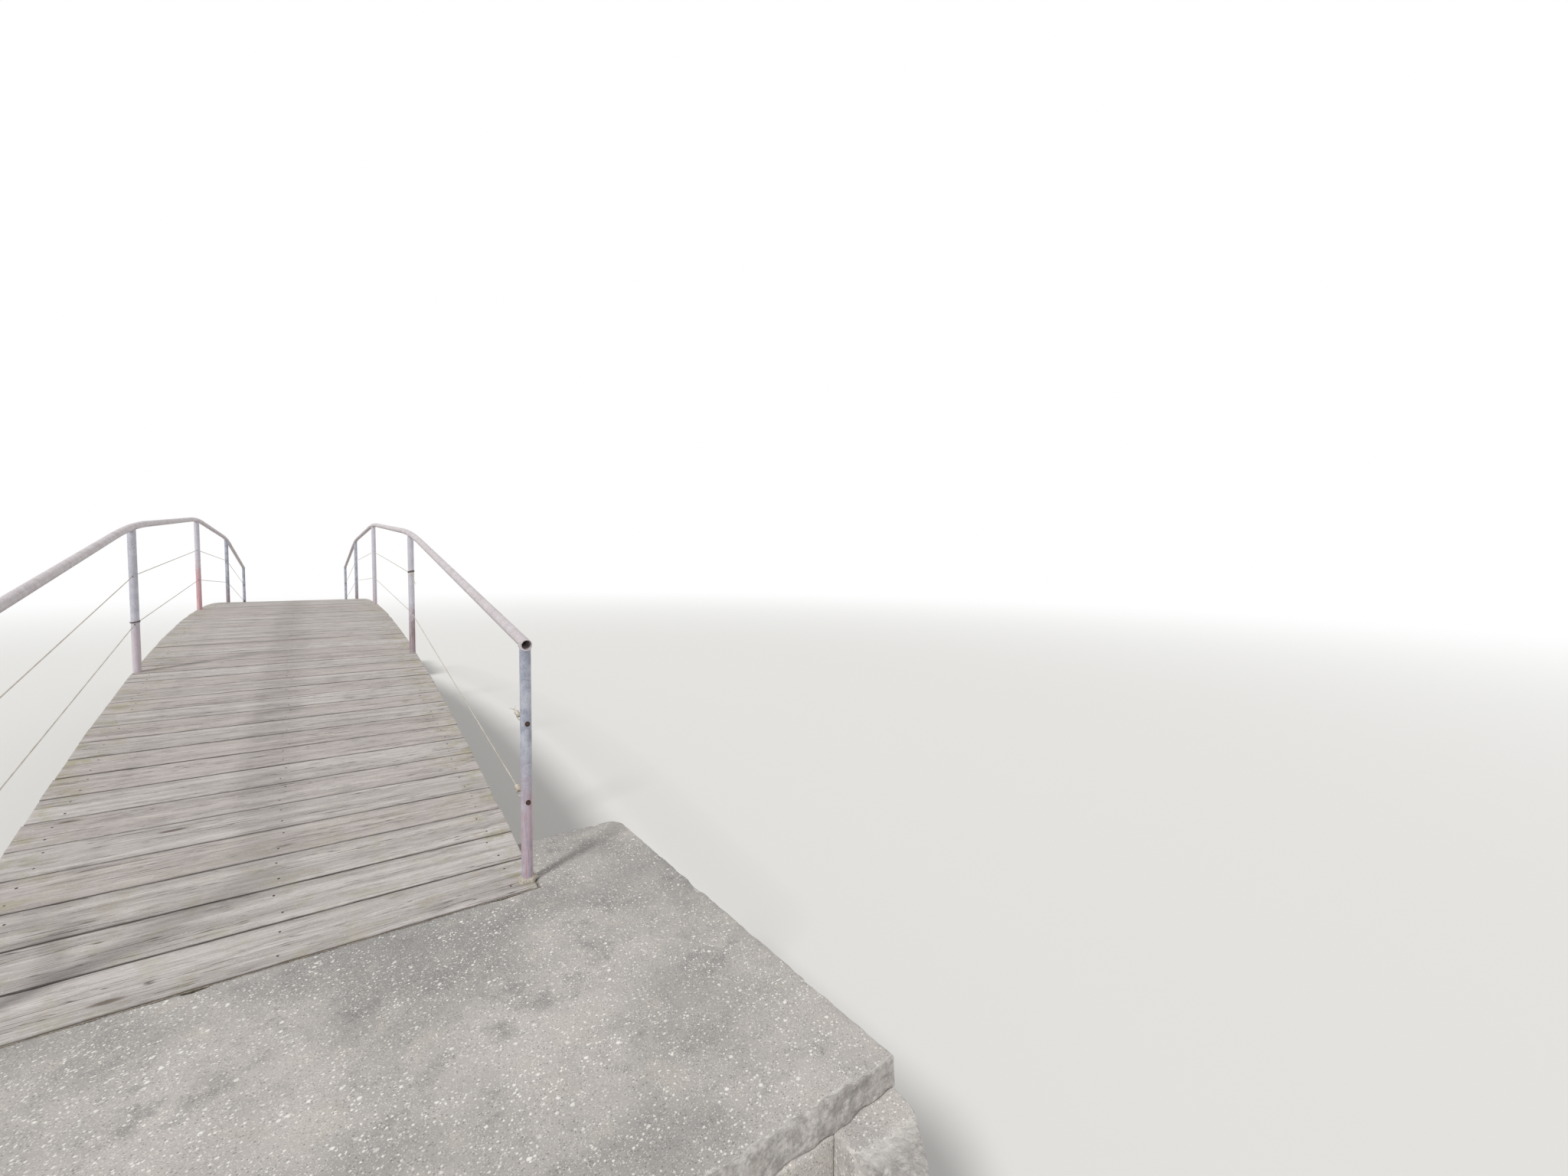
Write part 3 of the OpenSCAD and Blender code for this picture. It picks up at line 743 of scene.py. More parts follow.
def box_cells(lines, low, high):
    """Which cells of the grid lie in a box."""
    inside = [(line[:-1] >= l - TINY) & (line[1:] <= h + TINY) for line, l, h in zip(lines, low, high)]
    return inside[0][:, None, None] & inside[1][None, :, None] & inside[2][None, None, :]


def cast_block(node, step, seed, pocket_z=None, radius_at=None, shape_points=None):
    """Concrete piece for a node that is a box, less the deck's pocket above pocket_z."""
    low, high = (np.array(corner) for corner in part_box(node))
    near = low[1] < 0
    pocket_face = -POCKET_Y if near else POCKET_Y
    marks = [(), (), ()]
    if pocket_z is not None:
        marks = [(-POCKET_X, POCKET_X), (pocket_face,), (pocket_z,) if pocket_z > low[2] else ()]
    upright_step = min(step, THIN_STEP) if high[2] - low[2] < THIN_BLOCK else step
    lines = [grid_line(*row) for row in zip(low, high, (step, step, upright_step), marks)]
    solid = box_cells(lines, low, high)
    if pocket_z is not None:
        open_y = (pocket_face, high[1]) if near else (low[1], pocket_face)
        solid &= ~box_cells(lines, (-POCKET_X, open_y[0], pocket_z), (POCKET_X, open_y[1], high[2]))
    points, quads, broken = worn(lines, solid, radius_at or plain_wear(seed), seed)
    if shape_points:
        points, broken = shape_points(points, broken)
    piece = add_piece(node + "_cast", [(points, quads.tolist())], CONCRETE, node, 50)
    add_attributes(piece, broken=[broken])


def broken_back(points):
    """Rounding of the near landing's arrises: the right one is more worn, and the back one is broken."""
    back_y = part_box("near_landing")[0].y
    right_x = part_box("near_landing")[1].x
    at_back = smooth_step(points[:, 1], back_y + 0.10, back_y + 0.02)
    at_right = smooth_step(points[:, 0], right_x - 0.10, right_x - 0.01)
    ragged = np.clip(0.8 + layered(points, (0.6, 0.12, 41), (0.4, 0.04, 42)), 0.1, 1.6)
    chips = smooth_step(lumps(points, 0.030, 43), 0.25, 0.7)
    sound = plain_wear(40)(points) * (1 - 0.55 * at_back)
    return sound + 0.001 * at_back * ragged + at_right * (0.009 * ragged + 0.012 * chips)


def near_landing_shape(points, broken):
    """The back edge is broken off along a ragged line, and the right front corner is lost."""
    low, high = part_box("near_landing")
    lean = 0.008 * (points[:, 2] - low.z) / (high.z - low.z)
    depth = 0.006 + lean + layered(points, (0.012, 0.23, 81), (0.008, 0.085, 82), (0.005, 0.034, 83))
    moved = points.copy()
    moved[:, 1] += smooth_step(points[:, 1], low.y + BREAK_STRIP, low.y + 0.004) * np.clip(depth, 0.001, None)
    chipped = 0.007 * (1 + lumps(points, 0.05, 84))
    fresh = smooth_step(points[:, 1] - low.y - chipped, 0.008, 0.0)
    moved = pull_corner(moved, np.array([high.x, high.y]), LANDING_BREAK, 0)
    return moved, np.maximum(broken, fresh)


def at_wall_end(points, far_y, near_y, under, over):
    """How much points lie at the near right wall's near end and upper part, from 0 to 1."""
    low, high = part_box("near_right_wall")
    at_end = smooth_step(points[:, 1], low.y + far_y, low.y + near_y)
    return at_end * smooth_step(points[:, 2], high.z - under, high.z - over)


def wall_end_shape(points, broken):
    """The near right wall's upper corner is lost."""
    low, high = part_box("near_right_wall")
    moved = pull_corner(points, np.array([high.x, low.y]), WALL_BREAK, high.z - WALL_BREAK_H)
    at_end = at_wall_end(points, 0.24, 0.06, WALL_BREAK_H, 0.16)
    moved[:, 1] += at_end * (0.012 + 0.012 * lumps(points, 0.13, 85))
    return moved, np.maximum(broken, 0.8 * at_end)


def broken_wall_end(points):
    """Rounding of the near right wall's arrises, much of it at its broken end."""
    ragged = np.clip(0.8 + 0.35 * lumps(points, 0.14, 51), 0.4, 1.2)
    return plain_wear(50)(points) + 0.060 * at_wall_end(points, 0.30, 0.05, 0.40, 0.05) * ragged


def abutments():
    """The cast pieces, each with its grid's step and a seed."""
    shelf_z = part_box("near_bearing_shoes")[0].z - SEAT_GAP
    for end, step, *breaks in (("near", NEAR_STEP, broken_back, near_landing_shape), ("far", FAR_STEP)):
        cast_block(end + "_landing", step, 11, SLAB_LOW_Z - 1, *breaks)
        cast_block(end + "_seat_wall", SEAT_STEP, 13, shelf_z)
        cast_block(end + "_back_wall", WALL_STEP, 15)
        cast_block(end + "_left_wall", WALL_STEP, 17)
    cast_block("far_right_wall", WALL_STEP, 19)
    cast_block("near_right_wall", BROKEN_WALL_STEP, 21, None, broken_wall_end, wall_end_shape)


# Deck: each plank has its own wear, cup, cracks and nails

THICKNESS_LOSS = 0.0016
CUP = (-0.0011, 0.0013)
TWIST = (-0.0009, 0.0009)
END_TRIM = 0.006
EDGE_TRIM = (-0.0012, 0.0009)
FIRST_PLANK_TRIMS = (0.0005, 0.0030)
SECOND_PLANK_TRIM = 0.0022
PITH_REACH = 0.16
CRACK_LINES = 9
CRACK_L = (0.10, 0.42)
CRACK_DEPTH = (0.003, 0.009)
END_CRACKS = 0.76
STATIONS = 42
FIRST_STATION = 0.03
CLOSE_STATIONS = np.array([0.0, 0.0025, 0.010])
LOWER_ARRIS = ((0.0004, 0.0015), (0.0019, 0))
END_SHARE_V = 0.988
END_SHARE_W = 0.93
ARRIS_MARGIN = 0.015
NOTCH_HALF = PIPE_R + 0.003
CUTTER_MARGIN = 0.01
CUTTER_TOP = 0.06
NAIL_R = 0.0046
NAIL_SHARES = (0.85, 1.1)
NAIL_SUNK = 0.0006
NAIL_PLAY_U = 0.022
NAIL_PLAY_V = 0.012
NAIL_FROM_MIDDLE = 0.062
NAIL_LIMIT_X = POST_X - PIPE_R - 0.016
NAIL_HEAD = ((-0.002, 1.0), (0.0003, 1.0), (0.0009, 0.72), (0.0011, 0.2))
BOX_SIDES = [[0, 1, 3, 2], [4, 6, 7, 5], [0, 4, 5, 1], [2, 3, 7, 6], [0, 2, 6, 4], [1, 5, 7, 3]]


def cut_by_boxes(points, faces, boxes):
    """The same shape less the boxes, each given as (low corner, high corner)."""
    target = new_object("cut_target", make_mesh("cut_target", points, faces, 180))
    cutters = []
    for low, high in boxes:
        corners = list(itertools.product(*zip(low, high)))
        cutters.append(new_object("cutter", make_mesh("cutter", corners, BOX_SIDES, 180)))
        cut = target.modifiers.new("cut", "BOOLEAN")
        cut.operation = "DIFFERENCE"
        cut.solver = "EXACT"
        cut.object = cutters[-1]
    result = target.evaluated_get(bpy.context.evaluated_depsgraph_get()).to_mesh()
    cut_points = np.array([vertex.co[:] for vertex in result.vertices])
    cut_faces = [list(polygon.vertices) for polygon in result.polygons]
    for temporary in (target, *cutters):
        bpy.data.objects.remove(temporary)
    return cut_points, cut_faces


class Plank:
    """One deck plank: u runs along it, v across it and w up from its lower face."""

    def __init__(self, index):
        self.index = index
        self.middle_angle = -DECK_HALF_ANGLE + (index + 0.5) * PLANK_STEP
        self.rng = np.random.default_rng(900 + index)
        draw = self.rng.uniform
        self.thickness = PLANK_T - draw(0.0, THICKNESS_LOSS)
        self.cup = draw(*CUP)
        self.twist = draw(*TWIST)
        self.left_trim, self.right_trim = draw(0.0, END_TRIM, 2)
        self.near_trim, self.far_trim = draw(*EDGE_TRIM, 2)
        if index == 0:
            self.near_trim, self.far_trim = FIRST_PLANK_TRIMS
        if index == 1:
            self.near_trim = SECOND_PLANK_TRIM
        self.tone = draw(0, 1)
        self.pith = draw(-PITH_REACH, PITH_REACH), draw(0.03, PITH_REACH), draw(-0.035, 0.035)
        self.offset = draw(0, 40)
        self.cracks = self.draw_cracks()

    def draw_cracks(self):
        """Cracks as (line, start u, length, depth). Most open towards an end."""
        cracks = []
        lines = self.rng.permutation(CRACK_LINES)
        for line in lines[:int(self.rng.integers(2, 5))]:
            kind = self.rng.uniform()
            length = self.rng.uniform(*CRACK_L)
            depth = self.rng.uniform(*CRACK_DEPTH)
            if kind < END_CRACKS:
                end = math.copysign(DECK_W / 2, kind - END_CRACKS / 2)
                cracks.append((line, end, length, depth * 1.5))
            else:
                cracks.append((line, self.rng.uniform(-0.6, 0.6), length * 1.3, depth))
        return cracks

    def crack_depth(self, line, u):
        depth = np.zeros_like(u)
        for crack_line, start, length, deepest in self.cracks:
            if crack_line == line:
                from_start = np.abs(u - start) / length
                depth = np.maximum(depth, deepest * np.clip(1 - from_start, 0, 1) ** 0.7)
        return depth

    def top(self, u, v):
        """Height of the plank's worn upper face."""
        across = v / (PLANK_W / 2)
        warp = self.cup * (across ** 2 - 1) + self.twist * across * u / (DECK_W / 2)
        return self.thickness + warp - abs(self.cup) / 2

    def stations(self):
        """Places along the plank, closer at its ends."""
        left = -DECK_W / 2 + self.left_trim
        right = DECK_W / 2 - self.right_trim
        between = np.linspace(left + FIRST_STATION, right - FIRST_STATION, STATIONS)
        return np.concatenate([left + CLOSE_STATIONS, between, right - CLOSE_STATIONS[::-1]])

    def noise_along(self, u, row, size):
        return lumps(np.stack([u + self.offset, 0 * u + row * 3.7, 0 * u], 1), size, 7 + self.index % 13)

    def arris(self, u, edge, inward, row):
        """Worn arris as three columns of (v, w), from low to high v."""
        chips = smooth_step(self.noise_along(u, row, 0.06), 0.35, 0.9)
        end_wear = smooth_step(np.abs(u), DECK_W / 2 - 0.12, DECK_W / 2)
        radius = 0.0026 + 0.0012 * self.noise_along(u, row + 1, 0.11) + 0.006 * chips + 0.004 * end_wear
        side = edge + inward * 0.0006 * (1 + self.noise_along(u, row + 2, 0.2))
        places = ((side, radius), (edge + inward * radius * 0.3, radius * 0.3), (edge + inward * radius, 0))
        return [(v, self.top(u, v) - drop) for v, drop in places[::inward]]

    def upper_columns(self, u, near, far):
        """Columns of (v, w) across the upper face, three for a line that is cracked."""
        columns = self.arris(u, near, 1, 1)
        spacing = (far - near - 2 * ARRIS_MARGIN) / (CRACK_LINES - 1)
        for line in range(CRACK_LINES):
            v = near + ARRIS_MARGIN + line * spacing + 0.0035 * self.noise_along(u, 20 + line, 0.22)
            surface = self.top(u, v) + 0.00045 * self.noise_along(u, 40 + line, 0.3)
            depth = self.crack_depth(line, u)
            if depth.any():
                opening = 0.0003 + 0.24 * depth
                bottom = self.top(u, v) - depth - 0.0002
                columns += [(v - opening, surface), (v, bottom), (v + opening, surface)]
            else:
                columns.append((v, surface))
        return columns + self.arris(u, far, -1, 5)

    def body(self):
        """Points (u, v, w) in rings along the plank, and faces."""
        u = self.stations()
        near, far = -PLANK_W / 2 + self.near_trim, PLANK_W / 2 - self.far_trim
        columns = self.upper_columns(u, near, far)
        columns += [(far - inset, height) for inset, height in LOWER_ARRIS]
        columns += [(near + inset, height) for inset, height in LOWER_ARRIS[::-1]]
        v, w = (np.stack([0 * u + column[k] for column in columns], 1) for k in (0, 1))
        for row in (0, -1):
            v[row] *= END_SHARE_V
            w[row] = self.thickness / 2 + (w[row] - self.thickness / 2) * END_SHARE_W
        points = np.stack([np.repeat(u[:, None], v.shape[1], 1), v, w], -1)
        return points.reshape(-1, 3), ring_faces(*v.shape, flipped=True)

    def notched(self):
        """The body with its post notches cut."""
        boxes = []
        for i, side in itertools.product(range(BAYS + 1), (LEFT, RIGHT)):
            v = ARCH_R * (math.asin(station_y(i) / ARCH_R) - self.middle_angle)
            if abs(v) < PLANK_W / 2 + NOTCH_HALF:
                first, last = sorted((side * (DECK_W / 2 + CUTTER_MARGIN), side * NOTCH_X))
                low = first, v - NOTCH_HALF, -CUTTER_MARGIN
                boxes.append((low, (last, v + NOTCH_HALF, CUTTER_TOP)))
        return cut_by_boxes(*self.body(), boxes) if boxes else self.body()

    def placed(self, points):
        """Points from the plank's own (u, v, w) to the bridge's place."""
        sin, cos = math.sin(self.middle_angle), math.cos(self.middle_angle)
        radial = ARCH_R - PLANK_T + points[:, 2]
        return np.stack([points[:, 0], radial * sin + points[:, 1] * cos,
                         ARCH_CZ + radial * cos - points[:, 1] * sin], 1)

    def grain(self, points):
        """Where each point lay in the log, for the pattern of the rings."""
        side, depth, slope = self.pith
        u, v, w = points.T
        wave = 0.006 * self.noise_along(u, 60, 0.35)
        return np.stack([u + self.offset, v + side + wave, w + depth + slope * u], 1)

    def nails(self):
        """Nail heads, sunk a little into the upper face."""
        parts = []
        for x, v in itertools.product(STRINGER_XS, (-NAIL_FROM_MIDDLE, NAIL_FROM_MIDDLE)):
            u = np.clip(x + self.rng.uniform(-NAIL_PLAY_U, NAIL_PLAY_U), -NAIL_LIMIT_X, NAIL_LIMIT_X)
            v += self.rng.uniform(-NAIL_PLAY_V, NAIL_PLAY_V)
            sunk = self.rng.uniform(0.0, NAIL_SUNK)
            radius = NAIL_R * self.rng.uniform(*NAIL_SHARES)
            profile = [(along, radius * share) for along, share in NAIL_HEAD]
            points, faces = turned(profile, np.array([u, v, self.top(u, v) - sunk]), (0, 0, 1), 12)
            parts.append((self.placed(points), faces))
        return parts


def deck():
    for bay in range(BAYS):
        parts, nails = [], []
        attributes = {"grain": [], "tone": [], "seam": [], "reach": []}
        for k in range(PLANKS_PER_BAY):
            plank = Plank(bay * PLANKS_PER_BAY + k)
            points, faces = plank.notched()
            parts.append((plank.placed(points), faces))
            attributes["grain"].append(plank.grain(points))
            attributes["tone"].append(np.full(len(points), plank.tone))
            attributes["seam"].append(PLANK_W / 2 - np.abs(points[:, 1]))
            attributes["reach"].append(DECK_W / 2 - np.abs(points[:, 0]))
            nails += plank.nails()
        node = f"deck_planks_{bay + 1}"
        boards = add_piece(f"deck_boards_{bay + 1}", parts, DECK_WOOD, node, 38)
        add_attributes(boards, **attributes)
        add_piece(f"deck_nails_{bay + 1}", nails, RUST)


# Timber frame: stringers glued up from laminations

LAMINATIONS = 10
LAMINATION_T = STRINGER_H / LAMINATIONS
GLUE_LINE = 0.0004
LAMINATION_CHAMFER = 0.0014
EDGE_PLAY = 0.0011
STATIONS_ALONG = 121
GRAIN_SHIFT = (20, 0.2, 0.2)


def lamination(x, low_r, seat_z, seed):
    """One bent board of a stringer: plumb at its ends and cut level over the bearing."""
    rng = np.random.default_rng(seed)
    top_r = low_r + LAMINATION_T - GLUE_LINE
    end_y = min(STRINGER_END_Y, math.sqrt(top_r ** 2 - (seat_z + 0.001 - ARCH_CZ) ** 2))
    y = np.linspace(-end_y, end_y, STATIONS_ALONG)
    top = arc_z(top_r, y)
    low = np.maximum(arc_z(low_r, y), seat_z)
    chamfer = np.minimum(LAMINATION_CHAMFER, (top - low) / 3)
    left = x - STRINGER_W / 2 + rng.uniform(0.0, EDGE_PLAY)
    right = x + STRINGER_W / 2 - rng.uniform(0.0, EDGE_PLAY)
    outline = [(left, low + chamfer), (left, top - chamfer), (left + chamfer, top), (right - chamfer, top),
               (right, top - chamfer), (right, low + chamfer), (right - chamfer, low), (left + chamfer, low)]
    points = np.stack([np.stack([0 * y + px, y, pz], 1) for px, pz in outline], 1)
    return points.reshape(-1, 3), ring_faces(*points.shape[:2])


def stringers():
    low_r = STRINGER_TOP_R - STRINGER_H
    seat_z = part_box("middle_stringer")[0].z
    for number, (name, x) in enumerate(zip(("left", "middle", "right"), STRINGER_XS)):
        rng = np.random.default_rng(400 + number)
        parts, grain, tone = [], [], []
        for k in range(LAMINATIONS):
            r = low_r + k * LAMINATION_T
            parts.append(lamination(x, r, seat_z, 300 + 20 * number + k))
            px, y, z = parts[-1][0].T
            up = np.hypot(y, z - ARCH_CZ) - r + 0.004 * np.sin(y * 1.3 + k)
            grain.append(np.stack([y, px - x, up], 1) + rng.uniform(-1, 1, 3) * GRAIN_SHIFT)
            tone.append(np.full(len(y), rng.uniform(0, 1)))
        node = f"{name}_stringer"
        glulam = add_piece(f"{name}_glulam", parts, STRINGER_WOOD, node, 30)
        add_attributes(glulam, grain=grain, tone=tone)
    for k in range(1, BAYS + 2):
        paint_node(f"blocking_{k}", BLOCKING_WOOD)


# Railing

# Each post's share of pale paint, the height over the deck to which its lower part has faded, and that
# part's shade and share of red
POST_PAINT = {
    "right_post_1": (0.05, 0.42, (196, 174, 182), 0.45),
    "right_post_2": (0.70, 0.34, (140, 118, 120), 0.35),
    "right_post_3": (0.80, 0.16, (192, 180, 188), 0.25),
    "left_post_1": (0.05, 0.30, (188, 162, 164), 0.55),
    "left_post_2": (0.45, 0.30, (206, 194, 200), 0.20),
    "left_post_3": (0.75, 0.46, (214, 158, 160), 0.45),
}
USUAL_POST_PAINT = (0.10, 0.22, (150, 134, 138), 0.35)
PALE_PAINT = (220, 215, 222)
RAIL_PAINT = (214, 200, 196)
RAIL_SHARE = 0.65
WELD_R = 0.0032
WELD_SINK = 0.001
WELD_RIPPLES = 26


def rail_slope(i):
    """Angle of the rail over a post, from the straight stretches beside it."""
    slopes = [math.atan2(foot_z(k + 1) - foot_z(k), POST_PITCH) for k in (i - 1, i) if 0 <= k < BAYS]
    return sum(slopes) / len(slopes)


def weld_bead(side, i):
    """Rippled bead where a post's coped top meets the rail."""
    angle = round_angles(96)
    x, y = PIPE_R * np.cos(angle), PIPE_R * np.sin(angle)
    under = np.sqrt(np.clip(PIPE_R ** 2 - x ** 2, 0, None))
    slope = rail_slope(i)
    z = foot_z(i) + RAIL_H - under / math.cos(slope) + y * math.tan(slope)
    path = np.stack([side * POST_X + x * 1.04, station_y(i) + y * 1.06, z - WELD_SINK], 1)
    ripple = 1 + 0.16 * np.sin(angle * WELD_RIPPLES) + 0.10 * lumps(path, 0.011, 61 + i)
    return sweep(path, ring(WELD_R, 8), True, ripple)


def railing():
    for name, side in SIDES:
        for i in range(BAYS + 1):
            node = f"{name}_post_{i + 1}"
            pale, over_deck, shade, red = POST_PAINT.get(node, USUAL_POST_PAINT)
            paint_node(node, pipe_paint(node + "_paint", PALE_PAINT, pale, foot_z(i) + over_deck, shade, red))
        rail_paint = pipe_paint(name + "_rail_paint", RAIL_PAINT, RAIL_SHARE)
        paint_node(name + "_rail", rail_paint)
        add_piece(name + "_rail_welds", [weld_bead(side, i) for i in range(BAYS + 1)], rail_paint)


# Wires with their loops, bindings, chains and eye bolts

WIRE_R = 0.003
WIRE_SPIN = 2 * math.pi / 0.060
WIRE_STEP = 0.0065
STRANDS = 6
GROOVE = 0.80
BINDING_R = 0.0022
BINDING_L = 0.046
BINDING_PITCH = 2.1 * BINDING_R
BINDING_LAP = 0.0015
COIL_R = 0.011 - BINDING_R
LINK_BAR = 0.008
LINK_INNER_W = 0.020
SHORT_LINK_L = 0.032
LONG_LINK_L = 0.060
LOOP_L = 0.052
LINK_GAP = 0.0003
EYE_BAR = 0.010
EYE_INNER = {LOWER_WIRE_H: 0.036, UPPER_WIRE_H: 0.024}
EYE_NUT_W = 0.01645
EYE_NUT_H = 0.009
EYE_TAIL_L = 0.012
EYE_THREAD_L = 0.008
WASHER_T = 0.003
EYE_WASHER = ((0, 0.0104), (0.0005, 0.0110), (0.0020, 0.0110), (0.0030, 0.0102))
THREAD_PITCH = 0.0015
END_STUB_L = 0.060
STUB_BARE_L = 0.022
FRAY_START = 0.024
FRAYED_L = (0.022, 0.046)
FRAYED_R = 0.0008
STUB_R = 0.170
STUB_TURN = math.radians(62)
TIE_R = WIRE_R * 0.55
TIE_PITCH = 0.0052
TIE_SWAY = 0.004
TIE_TAIL = np.linspace(0.005, 0.03, 5)[:, None]
ALONG_X = np.array([1.0, 0, 0])
ALONG_Y = np.array([0, 1.0, 0])
UP = np.array([0, 0, 1.0])


def strands_outline():
    profile = ring(WIRE_R, 2 * STRANDS)
    profile[1::2] *= GROOVE
    return profile


def twisted(path, closed=False):
    """Wire of twisted strands along a path."""
    return sweep(path, strands_outline(), closed, None, WIRE_SPIN)


def arc_points(centre, radius, angle):
    """Points round a centre in the plane of Y and Z."""
    return centre + radius * np.stack([0 * angle, np.cos(angle), np.sin(angle)], 1)


def link_path(start, aim, flat, inner_l, bar):
    """Centre line of a link whose near bar is at start, its length along aim."""
    across = ALONG_X if flat else np.cross(ALONG_X, aim)
    bend_r = (LINK_INNER_W + bar) / 2
    points = []
    for first_angle, middle in ((90, bend_r), (-90, bend_r + inner_l - LINK_INNER_W)):
        for angle in np.radians(np.linspace(first_angle, first_angle + 180, 15)):
            along = middle + bend_r * math.cos(angle)
            points.append(start + aim * along + across * bend_r * math.sin(angle))
    return np.array(points)


def binding(start, aim):
    """Thin wire wound over the wire's doubled end."""
    up = np.cross(aim, ALONG_X)
    turns = BINDING_L / BINDING_PITCH
    angle = np.linspace(0, 2 * math.pi * turns, int(turns * 14))[:, None]
    along = BINDING_R + (BINDING_L - 2 * BINDING_R) * angle / angle[-1]
    wobble = COIL_R * (1 + 0.03 * np.sin(angle * 0.37))
    path = start + aim * along + ALONG_X * (wobble * np.cos(angle)) + up * (wobble * np.sin(angle))
    core_r, tip_r = COIL_R * 0.9, COIL_R * 0.54
    core = ((0.0, tip_r), (0.002, core_r), (BINDING_L - 0.002, core_r), (BINDING_L, tip_r))
    return [sweep(path, ring(BINDING_R, 8)), turned(core, start, aim, 16)]


def frayed(tip, aim, seed):
    """Loose strands at a parted wire's tip."""
    rng = np.random.default_rng(seed)
    parts = []
    for _ in range(STRANDS):
        spread = rng.normal(0, 1, 3)
        spread -= aim * spread.dot(aim)
        length = rng.uniform(*FRAYED_L)
        t = np.linspace(0, 1, 8)[:, None]
        path = tip + aim * (t * length - 0.004) + unit(spread) * (0.0012 + 0.014 * t ** 2)
        parts.append(sweep(path, ring(FRAYED_R, 6)))
    return parts


def threaded_end(start, aim, length, radius):
    """Bolt end with thread ridges and a chamfered tip."""
    profile = [(-0.004, radius * 0.9)]
    for k in range(int(length / THREAD_PITCH) - 1):
        profile += [(k * THREAD_PITCH, radius * 0.86), (k * THREAD_PITCH + THREAD_PITCH / 2, radius)]
    profile.append((length, radius * 0.72))
    return turned(profile, start, aim, 20)


class Wire:
    """One wire. Its near end has an eye, a loop on its line of aim and a binding. The far end is the same."""

    def __init__(self, side, height):
        self.side = side
        self.posts = [np.array([side * POST_X, station_y(i), foot_z(i) + height]) for i in range(BAYS + 1)]
        self.eye_inner = EYE_INNER[height]
        self.eye = self.posts[0] + ALONG_Y * (PIPE_R + EYE_BAR + self.eye_inner / 2)
        self.aim = unit(self.posts[1] - self.eye)
        self.has_chain = side == LEFT and height == LOWER_WIRE_H
        reach = self.eye_inner / 2 - WIRE_R - LINK_GAP
        if self.has_chain:
            reach = self.link_places()[2] + SHORT_LINK_L + LINK_BAR / 2 - WIRE_R - LINK_GAP
        self.loop = self.eye + self.aim * reach
        self.start = self.loop + self.aim * (LOOP_L + 2 * WIRE_R + BINDING_L / 2)

    def link_places(self):
        """Distances from the eye's middle to the near bars of the chain's links."""
        first = self.eye_inner / 2 - LINK_BAR / 2 - LINK_GAP
        long_at = first + SHORT_LINK_L - LINK_GAP
        return first, long_at, long_at + LONG_LINK_L - LINK_GAP

    def chain(self):
        """Three links, each at right angles to the next, or none."""
        if not self.has_chain:
            return []
        parts = []
        shapes = ((True, SHORT_LINK_L), (False, LONG_LINK_L), (True, SHORT_LINK_L))
        for at, (flat, length) in zip(self.link_places(), shapes):
            path = link_path(self.eye + self.aim * at, self.aim, flat, length, LINK_BAR)
            parts.append(sweep(path, ring(LINK_BAR / 2, 14), True))
        return parts

    def eye_bolt(self):
        """Eye bolt through the end post, with washer and nut on the outer side."""
        radius = (self.eye_inner + EYE_BAR) / 2
        face = self.posts[0] - ALONG_Y * (PIPE_R + SEAT_GAP)
        tail = face - ALONG_Y * EYE_TAIL_L
        return [sweep(arc_points(self.eye, radius, round_angles(48)), ring(EYE_BAR / 2, 14), True),
                sweep([self.eye - ALONG_Y * radius, tail], ring(EYE_BAR / 2, 18)),
                turned(EYE_WASHER, face, -ALONG_Y, 32),
                hex_nut(face - ALONG_Y * WASHER_T, -ALONG_Y, EYE_NUT_W, EYE_NUT_H, self.side * 0.4),
                threaded_end(tail, -ALONG_Y, EYE_THREAD_L, EYE_BAR / 2)]

    def run(self, near_end):
        """The wire from near_end through the inner posts to its far end, with both loops and bindings."""
        path = [near_end, *self.posts[1:-1], self.start * (1, -1, 1)]
        loop = twisted(link_path(self.loop, self.aim, not self.has_chain, LOOP_L, 2 * WIRE_R), True)
        end = [loop, *binding(self.loop + self.aim * (LOOP_L + 2 * WIRE_R - BINDING_LAP), self.aim)]
        return [twisted(resampled(path, WIRE_STEP)), *end, *map(mirrored, end)]

    def parted(self):
        """The wire parted in the first bay: a stub is left at its eye, and one hangs at the second post."""
        tip = self.start + self.aim * (BINDING_L / 2 + END_STUB_L)
        left_over = twisted(resampled([self.start, tip - self.aim * STUB_BARE_L], WIRE_STEP))
        aim = unit(self.posts[2] - self.posts[1])
        knot_end = self.posts[1] - aim * (PIPE_R + SEAT_GAP)
        middle = knot_end - aim * (BINDING_L - 2 * WIRE_R) - UP * STUB_R
        stub = arc_points(middle, STUB_R, np.linspace(math.pi / 2, math.pi / 2 + STUB_TURN - 0.2, 34))
        return [*self.run(knot_end - aim * BINDING_L / 2),
                left_over, *frayed(tip - self.aim * FRAY_START, self.aim, 8),
                *binding(knot_end - aim * BINDING_L, aim),
                twisted(stub), *frayed(stub[-1], unit(stub[-1] - stub[-2]), 5)]

    def tie(self, turns, seed):
        """Turns of wire round the first inner post, with a loose end."""
        angle = np.linspace(0, 2 * math.pi * turns, int(turns * 40))
        radius = PIPE_R + WIRE_R * 0.6
        rise = TIE_PITCH * angle / (2 * math.pi) + TIE_SWAY * np.sin(angle + seed)
        path = self.posts[1] + np.stack([radius * np.cos(angle), radius * np.sin(angle), rise + 0.010], 1)
        out = unit(path[-1] - path[-2]) + np.array([self.side * 0.4, 0, -0.5])
        path = np.concatenate([path, path[-1] + unit(out) * TIE_TAIL])
        return sweep(path, ring(TIE_R, 8))


